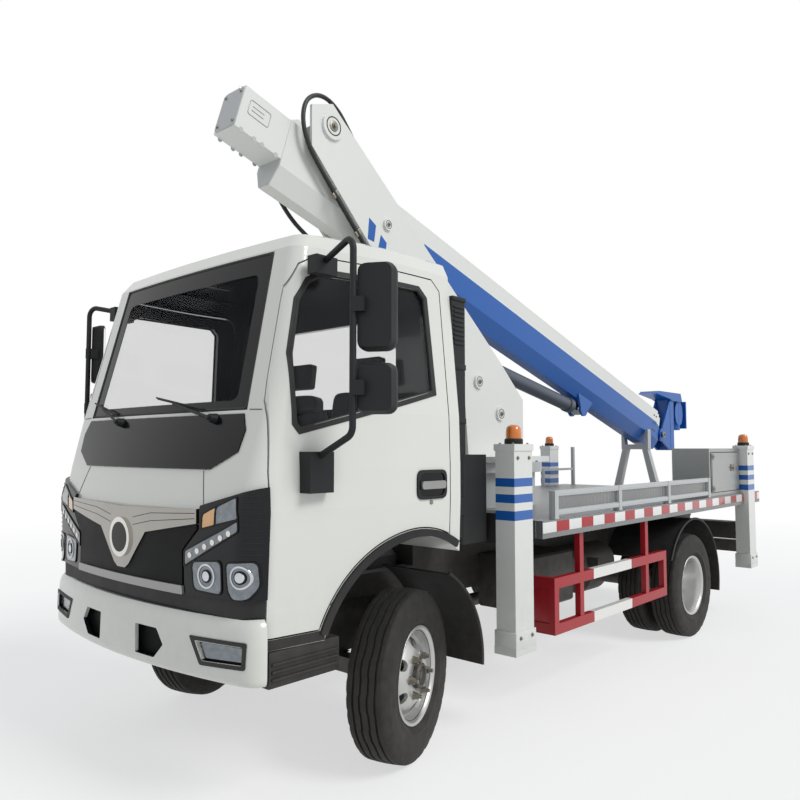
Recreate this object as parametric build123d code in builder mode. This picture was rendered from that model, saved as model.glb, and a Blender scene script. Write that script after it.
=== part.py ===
"""A light truck with a telescopic boom on a leaning turret, parked with its boom in the cradle.

Millimetres. X points to the truck's left side, Y to its rear and Z up. Lengths along the truck
are given from the front axle; the planes below carry them into the frame, whose origin lies on
the ground in the middle of the whole length and width.
"""

import os
from math import cos, radians, sin, tan

from build123d import *

os.makedirs("parts", exist_ok=True)

# Overall reach, from the front axle
front_reach = 1018
rear_reach = 5600
wheelbase = 3308

# Wheels
tyre_diameter = 805
tyre_width = 215
rim_radius = 204
flange_radius = 224
wheel_height = tyre_diameter / 2
front_wheel_x = 790
rear_outer_x = 885
rear_inner_x = 620
kingpin_x = 655
parked_steer = 18
spindle_radius = 30

# Frame and deck
rail_inner = 334
rail_outer = 410
rail_bottom = 620
rail_top = 820
rail_front = -430
rail_rear = 4780
horn_front = -865
horn_bottom = 612
horn_top = 675
deck_top = 1085
deck_depth = 100
deck_half = 1040
deck_front = 948
deck_rear = 4860

# Cab
cab_rear = 290
cab_wall = 40
cab_taper = 95
cab_waist = -150
cab_waist_radius = 1500
door_gap = 6
windscreen_low = 1655
windscreen_high = 2372

# Outriggers
leg_x = 1020
leg_width = 120
leg_length = 176
leg_bottom = 476
leg_top = 1480
leg_wall = 14
foot_bottom = 415
foot_clearance = 3
front_leg_y = 692
rear_leg_y = 4502

# Turret and boom
turret_y = 1790
turret_half = 160
turret_plate = 18
pivot_y = 139
pivot_z = 3351
boom_slope = 16.5
boom_half = 100
boom_top = -95
boom_side = 290
boom_height = 400
boom_keel = 46
boom_wall = 9
section_gap = 6
running_gap = 0.3
tail_reach = -550
tail_step = -230
outer_end = 4880
middle_end = 4945
inner_end = 5010
boom_pin_radius = 32
lift_base_y = 1100
lift_base_z = 2265
lift_eye_along = 3435
lift_eye_drop = -560
barrel_radius = 58
rod_radius = 36
level_along = 5085
level_drop = -285

front_axle_y = (front_reach - rear_reach) / 2
side = Plane(origin=(0, front_axle_y, 0), x_dir=(0, 1, 0), z_dir=(1, 0, 0))
front = Plane(origin=(0, front_axle_y, 0), x_dir=(1, 0, 0), z_dir=(0, -1, 0))
top = Plane(origin=(0, front_axle_y, 0))
mirror_plane = Plane.YZ
deck_bottom = deck_top - deck_depth


def at(x, y, z):
    """A place from the front axle line."""
    return Location((x, front_axle_y + y, z))


pieces = {}

# Ladder frame: two rails, cross members and spring hangers
front_spring_reach = 540
rear_spring_reach = 640
spring_eye = 604
rail_mid = (rail_inner + rail_outer) / 2
with BuildPart() as ladder_frame:
    with BuildSketch(top.offset(rail_bottom)):
        for sign in (-1, 1):
            with Locations((sign * rail_mid, (rail_front + rail_rear) / 2)):
                Rectangle(rail_outer - rail_inner, rail_rear - rail_front)
        for y in (700, 1500, 2400, 2750, 3850, 4740):
            with Locations((0, y)):
                Rectangle(2 * rail_inner + 20, 70)
    extrude(amount=rail_top - rail_bottom)
    with BuildSketch(top.offset(horn_bottom)):
        for sign in (-1, 1):
            with Locations((sign * rail_mid, (horn_front + rail_front + 60) / 2)):
                Rectangle(rail_outer - rail_inner, rail_front + 60 - horn_front)
        with Locations((0, -700)):
            Rectangle(2 * rail_inner + 20, 70)
    extrude(amount=horn_top - horn_bottom)
    for axle, reach in ((0, front_spring_reach), (wheelbase, rear_spring_reach)):
        for sign in (-1, 1):
            for end in (-reach, reach):
                with Locations(at(sign * rail_mid, axle + end, (rail_bottom + spring_eye) / 2 + 10)):
                    Box(60, 90, rail_bottom - spring_eye + 20)
pieces["ladder_frame"] = ladder_frame

# Leaf springs: a bowed pack under each rail
spring_width = 60
with BuildPart() as leaf_springs:
    for axle, reach, seat in (
        (0, front_spring_reach, wheel_height + 38),
        (wheelbase, rear_spring_reach, wheel_height + 66),
    ):
        for sign in (-1, 1):
            with BuildSketch(side.offset(sign * rail_mid - spring_width / 2)):
                with BuildLine():
                    ThreePointArc((axle - reach, spring_eye), (axle, seat + 55), (axle + reach, spring_eye))
                    Line((axle + reach, spring_eye), (axle + reach, spring_eye - 30))
                    ThreePointArc(
                        (axle + reach, spring_eye - 30), (axle, seat), (axle - reach, spring_eye - 30)
                    )
                    Line((axle - reach, spring_eye - 30), (axle - reach, spring_eye))
                make_face()
            extrude(amount=spring_width)
pieces["leaf_springs"] = leaf_springs

# Front axle beam with kingpin bosses, and the rear axle with its differential
boss_radius = 36
hub_face = (rear_outer_x + rear_inner_x) / 2
boss_height = 100
pin_radius = 14
with BuildPart() as axles:
    with Locations(at(0, 0, wheel_height - 5)):
        Box(2 * kingpin_x, 80, 76)
    with BuildSketch(top.offset(wheel_height - boss_height / 2)):
        for sign in (-1, 1):
            with Locations((sign * kingpin_x, 0)):
                Circle(boss_radius)
    extrude(amount=boss_height)
    with BuildSketch(top.offset(wheel_height - boss_height / 2)):
        for sign in (-1, 1):
            with Locations((sign * kingpin_x, 0)):
                Circle(pin_radius + 0.5)
    extrude(amount=boss_height, mode=Mode.SUBTRACT)
    with Locations(at(-rail_mid, 0, wheel_height + 35.5), at(rail_mid, 0, wheel_height + 35.5)):
        Box(80, 110, 5)
    # Rear axle
    with BuildSketch(side):
        with Locations((wheelbase, wheel_height)):
            Circle(62)
    extrude(amount=hub_face - 62, both=True)
    with BuildSketch(side):
        with Locations((wheelbase, wheel_height)):
            Circle(spindle_radius)
    extrude(amount=hub_face - 4, both=True)
    with BuildSketch(front.offset(-wheelbase - 150)):
        with Locations((0, wheel_height)):
            Circle(165)
    extrude(amount=300)
    with BuildSketch(front.offset(-wheelbase + 150)):
        with Locations((0, wheel_height)):
            Circle(75)
    extrude(amount=120)
    for sign in (-1, 1):
        with Locations(at(sign * rail_mid, wheelbase, wheel_height + 33)):
            Box(80, 120, 66)
pieces["axles"] = axles

# Engine and gearbox as one plain block, and the propeller shaft behind it
gearbox_rear = 1150
with BuildPart() as engine:
    with Locations(at(0, 150, 715)):
        Box(560, 820, 430)
    chamfer(engine.edges().filter_by(Axis.Y), 60)
    with Locations(at(0, 855, 470)):
        Box(300, 590, 300)
    with Locations(at(0, 300, 690)):
        Box(2 * rail_inner, 90, 60)
pieces["engine"] = engine

with BuildPart() as propeller_shaft:
    with BuildSketch(front.offset(-gearbox_rear)):
        with Locations((0, wheel_height)):
            Circle(45)
    extrude(amount=-(wheelbase - 270 - gearbox_rear))
pieces["propeller_shaft"] = propeller_shaft

# Fuel tank on the right rail, battery box and air vessel on the left rail
with BuildPart() as fuel_tank:
    with BuildSketch(front.offset(-1250)):
        with Locations((-rail_outer - 190, 660)):
            RectangleRounded(380, 360, 60)
    extrude(amount=-760)
    with Locations(at(-rail_outer - 250, 1400, 850)):
        Cylinder(45, 30)
pieces["fuel_tank"] = fuel_tank

vessel_front = 1760
vessel_rear = wheelbase - wheel_height - 385
with BuildPart() as battery_box:
    with Locations(at(rail_outer + 180, 1480, 660)):
        Box(360, 560, 330)
    chamfer(battery_box.edges().filter_by(Axis.Y), 14)
    with Locations(at(rail_outer + 180, (vessel_front + vessel_rear) / 2, 690)):
        Box(360, 40, 60)
    with BuildSketch(front.offset(-vessel_front)):
        with Locations((rail_outer + 150, 660)):
            Circle(135)
    extrude(amount=vessel_front - vessel_rear)
pieces["battery_box"] = battery_box

# Subframe and deck, with the floor plate, edge channels and cross bearers
with BuildPart() as subframe:
    with BuildSketch(top.offset(rail_top)):
        for sign in (-1, 1):
            with Locations((sign * rail_mid, 2680)):
                Rectangle(rail_outer - rail_inner, 4240)
        for y in (692, 1790, 2700, 3700, 4640):
            with Locations((0, y)):
                Rectangle(2 * rail_inner + 20, 120)
    extrude(amount=deck_bottom - rail_top)
pieces["subframe"] = subframe

deck_mid = (deck_front + deck_rear) / 2
deck_length = deck_rear - deck_front
notch = leg_width / 2 + 8
with BuildPart() as deck:
    with Locations(at(0, deck_mid, deck_top - 10)):
        Box(2 * deck_half, deck_length, 20)
    for sign in (-1, 1):
        with Locations(at(sign * (deck_half - 20), deck_mid, deck_top - deck_depth / 2)):
            Box(40, deck_length, deck_depth)
    for end in (deck_front + 25, deck_rear - 25):
        with Locations(at(0, end, deck_top - deck_depth / 2)):
            Box(2 * deck_half, 50, deck_depth)
    for row in range(1, 8):
        with Locations(at(0, deck_front + row * deck_length / 8, deck_top - deck_depth / 2)):
            Box(2 * deck_half, 60, deck_depth)
    for sign in (-1, 1):
        with Locations(at(sign * (leg_x + 60), rear_leg_y, deck_top - deck_depth / 2)):
            Box(2 * (notch + 60), leg_length + 16, deck_depth + 10, mode=Mode.SUBTRACT)
pieces["deck"] = deck

# Low rails along both deck edges, with sheet infill
rail_posts = (1113, 1935, 2746, 3571)
corner_post = 1505
corner_rail_x = leg_x - leg_width / 2 - 40
corner_rail = 640
corner_rail_top = 1272
with BuildPart() as deck_rails:
    for sign in (-1, 1):
        edge = sign * (deck_half - 25)
        for y in rail_posts:
            with Locations(at(edge, y, deck_top + 80)):
                Box(40, 40, 160)
        for height in (1109 + 12, 1245 - 15):
            with Locations(at(edge, (rail_posts[0] + rail_posts[-1]) / 2, height)):
                Box(34, rail_posts[-1] - rail_posts[0], 28)
        with Locations(at(edge, (rail_posts[0] + rail_posts[-1]) / 2, 1176)):
            Box(6, rail_posts[-1] - rail_posts[0], 110)
    # A taller post with a short hand rail on the right rear corner
    with Locations(at(-corner_rail_x, deck_rear - 20, (deck_top + corner_post) / 2)):
        Box(32, 32, corner_post - deck_top)
    with Locations(at(-corner_rail_x, deck_rear - 20 - corner_rail / 2, corner_rail_top - 12)):
        Box(24, corner_rail, 24)
    with Locations(at(-corner_rail_x, deck_rear - 20 - corner_rail, (deck_top + corner_rail_top) / 2)):
        Box(24, 24, corner_rail_top - deck_top)
pieces["deck_rails"] = deck_rails

# Side guards hung below the deck between the axles, their front ends turned inwards
guard_front = 1126
guard_rear = wheelbase - 580
guard_x = deck_half - 55
guard_low = 414
guard_high = 739
guard_bar = 62
guard_return = 260
with BuildPart() as side_guards:
    for sign in (-1, 1):
        for height in (guard_low + guard_bar / 2, guard_high - guard_bar / 2):
            with Locations(at(sign * guard_x, (guard_front + guard_rear) / 2, height)):
                Box(40, guard_rear - guard_front, guard_bar)
            with Locations(at(sign * (guard_x - guard_return / 2), guard_front + 20, height)):
                Box(guard_return, 40, guard_bar)
        for y in (guard_front + 25, guard_rear - 25):
            with Locations(at(sign * guard_x, y, (guard_low + guard_high) / 2)):
                Box(40, 50, guard_high - guard_low - guard_bar)
        for y in (guard_front + 330, guard_rear - 330):
            with Locations(at(sign * guard_x, y, (guard_low + deck_bottom) / 2)):
                Box(36, 46, deck_bottom - guard_low)
pieces["side_guards"] = side_guards

# Black arch panels: sills under the doors, one arched sheet behind each front wheel
# and one over each pair of rear wheels
guard_sheet = 8
cab_bottom = 690
sill_bottom = 607
with BuildPart() as arch_panels:
    for sign in (-1, 1):
        with BuildSketch(top.offset(sill_bottom)):
            Polygon(
                (sign * 800, -838),
                (sign * 846, -838),
                (sign * 884, -560),
                (sign * 800, -560),
                align=None,
            )
        extrude(amount=cab_bottom - sill_bottom)
        for axle, radius, first, last, inner, outer in (
            (0, 522, -28, 62, 470, 925),
            (wheelbase, 520, -12, 152, 470, 1000),
        ):
            start = min(sign * inner, sign * outer)
            with BuildSketch(side.offset(start)):
                with BuildLine():
                    outer_arc = CenterArc((axle, wheel_height), radius + guard_sheet, first, last - first)
                    inner_arc = CenterArc((axle, wheel_height), radius, first, last - first)
                    Line(outer_arc @ 0, inner_arc @ 0)
                    Line(outer_arc @ 1, inner_arc @ 1)
                make_face()
            extrude(amount=outer - inner)
        with Locations(at(sign * 450, 478, 640)):
            Box(80, 50, 60)
        with Locations(at(sign * 720, wheelbase, (wheel_height + 524 + deck_top - 20) / 2)):
            Box(80, 80, deck_top - 20 - wheel_height - 524)
pieces["arch_panels"] = arch_panels

# Cab body as a few level sections: height, half width, front, bow of the front and corner radius
cab_sections = (
    (cab_bottom, 946, -975, 82, 130),
    (1240, 965, -985, 82, 130),
    (1406, 965, -932, 60, 110),
    (1654, 958, -845, 30, 80),
    (2380, 888, -672, 30, 70),
    (2446, 856, -625, 30, 70),
    (2480, 780, -505, 30, 70),
)


def wheel_arch(grow):
    """The front wheel arch seen from the side, cut right across the cab."""
    with BuildSketch(side) as arch:
        with BuildLine():
            ThreePointArc((-570, 650), (-60, 1077), (480, 760))
            Polyline((480, 760), (480, 300), (-570, 300), (-570, 650))
        make_face()
        offset(amount=grow)
    return arch.sketch


def cab_block(inset):
    """The cab's body, each face moved inwards by the inset."""
    lowest = cab_sections[0][0]
    highest = cab_sections[-1][0]
    with BuildPart() as block:
        for height, half, nose, bow, corner in cab_sections:
            level = min(max(height, lowest + inset), highest - inset)
            with BuildSketch(top.offset(level)) as outline:
                wide = half - inset
                narrow = wide - cab_taper
                tip = nose + inset
                with BuildLine():
                    ThreePointArc((-narrow, tip + bow), (0, tip), (narrow, tip + bow))
                    Polyline(
                        (narrow, tip + bow),
                        (wide, cab_waist),
                        (wide, cab_rear - inset),
                        (-wide, cab_rear - inset),
                        (-wide, cab_waist),
                        (-narrow, tip + bow),
                    )
                make_face()
                fillet(outline.vertices().group_by(Axis.Y)[1], cab_waist_radius)
                fillet(outline.vertices().group_by(Axis.Y)[0], corner - inset * 0.6)
        loft(ruled=True)
        extrude(wheel_arch(inset), amount=1200, both=True, mode=Mode.SUBTRACT)
    return block.part


cab_outer = cab_block(0)
cab_inner = cab_block(cab_wall)

# Outlines on the cab's side: the door and its window
door_front = -835
door_root = 795
door_outline = (
    (door_front, 740),
    (door_front, 1400),
    (-812, 1652),
    (-762, 1926),
    (-690, 2182),
    (-634, 2294),
    (-560, 2336),
    (150, 2340),
    (205, 2290),
    (205, 740),
)
window_outline = (
    (-690, 1578),
    (-708, 1600),
    (-708, 1890),
    (-652, 2130),
    (-597, 2218),
    (-515, 2262),
    (40, 2268),
    (80, 2230),
    (95, 1772),
)


def side_prism(points, grow):
    """An outline on the left side, run across the cab's left wall."""
    with BuildPart() as prism:
        with BuildSketch(side):
            Polygon(*points, align=None)
            if grow:
                offset(amount=grow, kind=Kind.INTERSECTION)
        extrude(amount=1200)
        with BuildSketch(front.offset(1100)):
            Polygon(
                (door_root - grow, 600),
                (door_root - grow, windscreen_low),
                (door_root - 50 - grow, 2450),
                (1200, 2450),
                (1200, 600),
                align=None,
            )
        extrude(amount=-1700, mode=Mode.INTERSECT)
        extrude(wheel_arch(cab_wall + 5 - grow), amount=1300, mode=Mode.SUBTRACT)
    return prism.part


def front_prism(points, grow=0):
    """An outline on the cab's front, run back through the front wall."""
    with BuildPart() as prism:
        with BuildSketch(front.offset(450)):
            Polygon(*points, align=None)
            if grow:
                offset(amount=grow, kind=Kind.INTERSECTION)
        extrude(amount=700)
    return prism.part


windscreen_outline = (
    (-700, windscreen_low),
    (700, windscreen_low),
    (655, windscreen_high),
    (-655, windscreen_high),
)
rear_window = ((-560, 1720), (560, 1720), (560, 2200), (-560, 2200))
left_door_hole = side_prism(door_outline, door_gap)

# Latch strikers on the rear edge of each door opening, where the shut door rests
striker_room = 0.3
striker_depth = 20
striker_x = cab_sections[1][1] - cab_wall / 2
door_rear = door_outline[-1][0]
with BuildPart() as left_strikers:
    for height in (1080, 1480):
        with Locations(at(striker_x, door_rear + striker_room + striker_depth / 2, height)):
            Box(20, striker_depth, 40)

with BuildPart() as cab_shell:
    add(cab_outer)
    add(cab_inner, mode=Mode.SUBTRACT)
    add(left_door_hole, mode=Mode.SUBTRACT)
    add(mirror(left_door_hole, about=mirror_plane, mode=Mode.PRIVATE), mode=Mode.SUBTRACT)
    add(left_strikers.part)
    add(mirror(left_strikers.part, about=mirror_plane, mode=Mode.PRIVATE))
    add(front_prism(windscreen_outline), mode=Mode.SUBTRACT)
    with BuildSketch(front.offset(-cab_rear - 50)):
        Polygon(*rear_window, align=None)
    extrude(amount=200, mode=Mode.SUBTRACT)
pieces["cab_shell"] = cab_shell

# Glass of the windscreen and the rear window
with BuildPart() as cab_glass:
    add(cab_block(6))
    add(cab_block(14), mode=Mode.SUBTRACT)
    add(front_prism(windscreen_outline), mode=Mode.INTERSECT)
    with BuildSketch(front.offset(-cab_rear + 6)):
        Polygon(*rear_window, align=None)
    extrude(amount=8)
pieces["cab_glass"] = cab_glass

# Doors, glass and mirrors; the right side mirrors the left
with BuildPart() as left_door:
    add(cab_outer)
    add(cab_inner, mode=Mode.SUBTRACT)
    add(side_prism(door_outline, 0), mode=Mode.INTERSECT)
    add(side_prism(window_outline, 0), mode=Mode.SUBTRACT)
with BuildPart() as left_door_glass:
    add(cab_block(14))
    add(cab_block(20), mode=Mode.SUBTRACT)
    add(side_prism(window_outline, 0), mode=Mode.INTERSECT)

# Mirrors: two heads turned to the driver, clamped to one bent arm between brackets on the door
arm_x = 1150
arm_y = -648
arm_radius = 14
mirror_x = 1193
mirror_y = -556
mirror_width = 164
mirror_turn = radians(30)
mirror_back = (sin(mirror_turn), -cos(mirror_turn), 0)
mirror_across = (cos(mirror_turn), sin(mirror_turn), 0)
with BuildPart() as left_mirrors:
    with BuildLine() as arm_line:
        FilletPolyline(
            (840, front_axle_y - 560, 2285),
            (arm_x, front_axle_y + arm_y, 2352),
            (arm_x, front_axle_y + arm_y, 1550),
            (880, front_axle_y - 640, 1430),
            radius=50,
        )
    with BuildSketch(Plane(origin=arm_line.line @ 0, z_dir=arm_line.line % 0)):
        Circle(arm_radius)
    sweep()
    for low, high, corner in ((1886, 2250, 45), (1631, 1837, 38)):
        centre = at(mirror_x, mirror_y, (low + high) / 2).position
        head = Plane(origin=centre, x_dir=mirror_across, z_dir=mirror_back)
        with BuildSketch(head.offset(-25)):
            RectangleRounded(mirror_width, high - low, corner)
        extrude(amount=25)
        with BuildSketch(head):
            RectangleRounded(mirror_width, high - low, corner)
        extrude(amount=42, taper=16)
        with BuildSketch(head):
            with Locations((20 - mirror_width / 2, 0)):
                Rectangle(56, 60)
        extrude(amount=74)
    with Locations(at(920, -635, 1395)):
        Box(80, 130, 170)
    with Locations(at(885, -575, 2280)):
        Box(60, 120, 80)
    add(left_door.part, mode=Mode.SUBTRACT)
for name, left in (
    ("door", left_door),
    ("door_glass", left_door_glass),
    ("mirrors", left_mirrors),
):
    pieces["left_" + name] = left
    with BuildPart() as right:
        mirror(left.part, about=mirror_plane)
    pieces["right_" + name] = right

# Front face: black panel below the windscreen, grille, chrome bar and headlamps stand on the cab
panel_outline = (
    (-690, 1640),
    (690, 1640),
    (725, 1569),
    (710, 1478),
    (560, 1405),
    (-560, 1405),
    (-710, 1478),
    (-725, 1569),
)
lamp_outline = (
    (481, 885),
    (475, 1068),
    (573, 1160),
    (572, 1258),
    (930, 1352),
    (980, 1352),
    (980, 900),
)
grille_outline = (
    (-468, 905),
    (468, 905),
    (466, 1070),
    (562, 1162),
    (562, 1178),
    (-562, 1178),
    (-562, 1162),
    (-466, 1070),
)
bar_outline = (
    (-565, 1244),
    (0, 1230),
    (565, 1244),
    (565, 1184),
    (205, 1126),
    (66, 972),
    (34, 953),
    (-34, 953),
    (-66, 972),
    (-205, 1126),
    (-565, 1184),
)


def front_cover(thickness):
    """A skin over the cab's front, for the pieces that stand on it."""
    with BuildPart() as cover:
        add(cab_block(-thickness))
        add(cab_outer, mode=Mode.SUBTRACT)
        with Locations(at(0, -900, 1500)):
            Box(2200, 680, 2200, mode=Mode.INTERSECT)
    return cover.part


with BuildPart() as front_panel:
    add(front_cover(6))
    add(front_prism(panel_outline), mode=Mode.INTERSECT)
pieces["front_panel"] = front_panel

with BuildPart() as grille:
    add(front_cover(18))
    add(front_prism(grille_outline), mode=Mode.INTERSECT)
    add(front_prism(bar_outline, 1), mode=Mode.SUBTRACT)
pieces["grille"] = grille

with BuildPart() as grille_bar:
    add(front_cover(24))
    add(front_prism(bar_outline), mode=Mode.INTERSECT)
pieces["grille_bar"] = grille_bar

with BuildPart() as lamp_space:
    for sign in (-1, 1):
        with BuildSketch(front.offset(-door_front + 10)):
            Polygon(*[(sign * x, z) for x, z in lamp_outline], align=None)
        extrude(amount=300)
with BuildPart() as headlamps:
    add(front_cover(16))
    add(lamp_space.part, mode=Mode.INTERSECT)
pieces["headlamps"] = headlamps

# Bumper below the face
bumper_front = -front_reach
bumper_low = 560
bumper_high = 878
bumper_half = 880
bumper_bow = 105
bumper_rear = door_front - 12
bumper_wall = 40
bumper_corner = 80
tow_opening = ((160, 728), (320, 728), (368, 665), (305, 603), (165, 603))
fog_opening = ((575, 712), (825, 718), (822, 650), (612, 640))
with BuildPart() as bumper:
    for step, height, mode in (
        (0, bumper_high, Mode.ADD),
        (bumper_wall, bumper_high - 30, Mode.SUBTRACT),
    ):
        wide = bumper_half - step
        tip = bumper_front + step
        rear = bumper_rear + step
        with BuildSketch(top.offset(bumper_low)) as bumper_plan:
            with BuildLine():
                ThreePointArc((-wide, tip + bumper_bow), (0, tip), (wide, tip + bumper_bow))
                Polyline(
                    (wide, tip + bumper_bow),
                    (wide + 8, rear),
                    (-wide - 8, rear),
                    (-wide, tip + bumper_bow),
                )
            make_face()
            fillet(bumper_plan.vertices().group_by(Axis.Y)[0], bumper_corner - step)
        extrude(amount=height - bumper_low, mode=mode)
    with BuildSketch(front.offset(900)):
        for sign in (-1, 1):
            for opening in (tow_opening, fog_opening):
                Polygon(*[(sign * x, z) for x, z in opening], align=None)
    extrude(amount=200, mode=Mode.SUBTRACT)
    add(cab_block(-5), mode=Mode.SUBTRACT)
    horn_mid = (horn_bottom + horn_top) / 2
    for sign in (-1, 1):
        with Locations(at(sign * rail_mid, (horn_front + bumper_front + 50) / 2, horn_mid)):
            Box(60, horn_front - bumper_front - 50, horn_top - horn_bottom - 20)
pieces["bumper"] = bumper

# Inside the cab: dashboard, steering wheel and seats
dash_half = 690
with BuildPart() as dashboard:
    with BuildSketch(side):
        Polygon((-980, 1250), (-560, 1250), (-520, 1480), (-600, 1560), (-980, 1600), align=None)
    extrude(amount=dash_half, both=True)
    add(cab_inner, mode=Mode.INTERSECT)
pieces["dashboard"] = dashboard

wheel_tilt = 35
with BuildPart() as steering_wheel:
    rim_plane = Plane(at(420, -400, 1560) * Rotation(wheel_tilt, 0, 0))
    with BuildSketch(Plane(origin=rim_plane.origin, x_dir=rim_plane.x_dir, z_dir=rim_plane.y_dir)):
        with Locations((215, 0)):
            Circle(15)
    revolve(axis=Axis(rim_plane.origin, rim_plane.z_dir))
    with BuildSketch(rim_plane.offset(-12)):
        Circle(60)
        Rectangle(420, 44)
    extrude(amount=20)
    with BuildSketch(rim_plane.offset(-12)):
        Circle(28)
    extrude(amount=-170)
    add(dashboard.part, mode=Mode.SUBTRACT)
pieces["steering_wheel"] = steering_wheel

with BuildPart() as seats:
    for x, width in ((420, 500), (-350, 880)):
        with BuildSketch(side.offset(x - width / 2)) as seat_side:
            with BuildLine():
                Polyline(
                    (-300, 1300),
                    (60, 1300),
                    (150, 2020),
                    (210, 2020),
                    (170, 1000),
                    (-250, 1000),
                    (-320, 1200),
                    (-300, 1300),
                )
            make_face()
            fillet(seat_side.vertices().group_by(Axis.Y)[-1], 25)
        extrude(amount=width)
    add(cab_block(cab_wall + 0.3), mode=Mode.INTERSECT)
pieces["seats"] = seats

# Air intake stack on the cab's back, left corner, with the air cleaner's housing behind it
with BuildPart() as air_intake:
    with Locations(at(850, cab_rear + 55, 1650)):
        Box(130, 110, 1230)
    with BuildSketch(top.offset(1150)):
        with Locations((850, cab_rear + 55)):
            RectangleRounded(150, 108, 20)
    extrude(amount=90)
    with BuildSketch(top.offset(1000)):
        with Locations((775, cab_rear + 185)):
            RectangleRounded(300, 230, 30)
    extrude(amount=460)
pieces["air_intake"] = air_intake

# Outriggers: cross beams, upright legs with amber beacons, and four sliding feet
with BuildPart() as outrigger_beams:
    with Locations(at(0, front_leg_y, deck_bottom + 80)):
        Box(2 * (leg_x - leg_width / 2), 150, 160)
    for sign in (-1, 1):
        start = rail_outer
        reach = leg_x - leg_width / 2 - start
        with Locations(at(sign * (start + reach / 2), rear_leg_y, 740)):
            Box(reach, 150, 150)
pieces["outrigger_beams"] = outrigger_beams

leg_places = (
    ("front_left", 1, front_leg_y),
    ("front_right", -1, front_leg_y),
    ("rear_left", 1, rear_leg_y),
    ("rear_right", -1, rear_leg_y),
)
with BuildPart() as outrigger_legs:
    for name, sign, y in leg_places:
        with Locations(at(sign * leg_x, y, (leg_bottom + leg_top) / 2)):
            Box(leg_width, leg_length, leg_top - leg_bottom)
        with Locations(at(sign * leg_x, y, (leg_bottom + leg_top - 40) / 2)):
            Box(
                leg_width - 2 * leg_wall,
                leg_length - 2 * leg_wall,
                leg_top - leg_bottom - 40,
                mode=Mode.SUBTRACT,
            )
        with Locations(at(sign * leg_x, y, leg_bottom + 30)):
            Box(leg_width + 14, leg_length + 14, 60)
            Box(
                leg_width - 2 * leg_wall - 2 * foot_clearance + 0.6,
                leg_length - 2 * leg_wall - 2 * foot_clearance + 0.6,
                60,
                mode=Mode.SUBTRACT,
            )
        with Locations(at(sign * leg_x, y, leg_top + 18)):
            Box(leg_width + 12, leg_length + 12, 36)
pieces["outrigger_legs"] = outrigger_legs

beacon_base = leg_top + 36
with BuildPart() as beacons:
    for name, sign, y in leg_places:
        with Locations(at(sign * leg_x, y, beacon_base + 15)):
            Cylinder(48, 30)
        with BuildSketch(top.offset(beacon_base + 30)):
            with Locations((sign * leg_x, y)):
                Circle(42)
        extrude(amount=75, taper=5)
pieces["beacons"] = beacons

for name, sign, y in leg_places:
    with BuildPart() as foot:
        with Locations(at(sign * leg_x, y, (foot_bottom + 1380) / 2)):
            Box(
                leg_width - 2 * leg_wall - 2 * foot_clearance,
                leg_length - 2 * leg_wall - 2 * foot_clearance,
                1380 - foot_bottom,
            )
        with Locations(at(sign * leg_x, y, foot_bottom + 20)):
            Box(leg_width + 16, leg_length + 20, 40)
    pieces[name + "_foot"] = foot

# Cabinet on the deck's left rear corner, with a hinged door in its outer side
cabinet_front = 3640
cabinet_rear = 4392
cabinet_inner = 698
cabinet_outer = 1012
cabinet_top = 1490
cabinet_sheet = 12
hinge_x = cabinet_outer - 3
hinge_y = cabinet_front + 46
hinge_pin = 4
with BuildPart() as tool_cabinet:
    cabinet_x = (cabinet_inner + cabinet_outer) / 2
    cabinet_y = (cabinet_front + cabinet_rear) / 2
    with Locations(at(cabinet_x, cabinet_y, (deck_top + cabinet_top) / 2)):
        Box(cabinet_outer - cabinet_inner, cabinet_rear - cabinet_front, cabinet_top - deck_top)
        Box(
            cabinet_outer - cabinet_inner - 2 * cabinet_sheet,
            cabinet_rear - cabinet_front - 2 * cabinet_sheet,
            cabinet_top - deck_top - 2 * cabinet_sheet,
            mode=Mode.SUBTRACT,
        )
    with BuildSketch(side.offset(cabinet_outer - 60)):
        with Locations(((cabinet_front + cabinet_rear) / 2, (deck_top + cabinet_top) / 2)):
            Rectangle(cabinet_rear - cabinet_front - 60, cabinet_top - deck_top - 60)
    extrude(amount=100, mode=Mode.SUBTRACT)
    for height in (deck_top + 36, cabinet_top - 36):
        with Locations(at(hinge_x, hinge_y, height)):
            Cylinder(hinge_pin, 24)
pieces["tool_cabinet"] = tool_cabinet

with BuildPart() as cabinet_door:
    with BuildSketch(side.offset(cabinet_outer - cabinet_sheet)):
        with Locations(((cabinet_front + cabinet_rear) / 2, (deck_top + cabinet_top) / 2)):
            Rectangle(cabinet_rear - cabinet_front - 72, cabinet_top - deck_top - 72)
    extrude(amount=cabinet_sheet + 6)
    for height in (deck_top + 36, cabinet_top - 36):
        with Locations(at(hinge_x, hinge_y, height)):
            Cylinder(hinge_pin + 0.2, 26, mode=Mode.SUBTRACT)
pieces["cabinet_door"] = cabinet_door

# Cradle that the boom rests in
cradle_y = 4470
cradle_depth = 70
cradle_room = 11
slope = radians(boom_slope)
keel_drop = (boom_top - boom_height) / cos(slope)
cradle_top = pivot_z + keel_drop - (cradle_y + cradle_depth / 2 - pivot_y) * tan(slope) - cradle_room
with BuildPart() as boom_rest:
    for sign in (-1, 1):
        with BuildSketch(front.offset(-cradle_y - cradle_depth / 2)):
            Polygon(
                (sign * 170, deck_top),
                (sign * 235, deck_top),
                (sign * 130, cradle_top - 40),
                (sign * 75, cradle_top - 40),
                align=None,
            )
            Polygon(
                (sign * 100, cradle_top - 30),
                (sign * 140, cradle_top - 50),
                (sign * 140, cradle_top + 150),
                (sign * 116, cradle_top + 150),
                align=None,
            )
        extrude(amount=cradle_depth)
    with Locations(at(0, cradle_y, cradle_top - 25)):
        Box(280, cradle_depth, 50)
pieces["boom_rest"] = boom_rest

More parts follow.
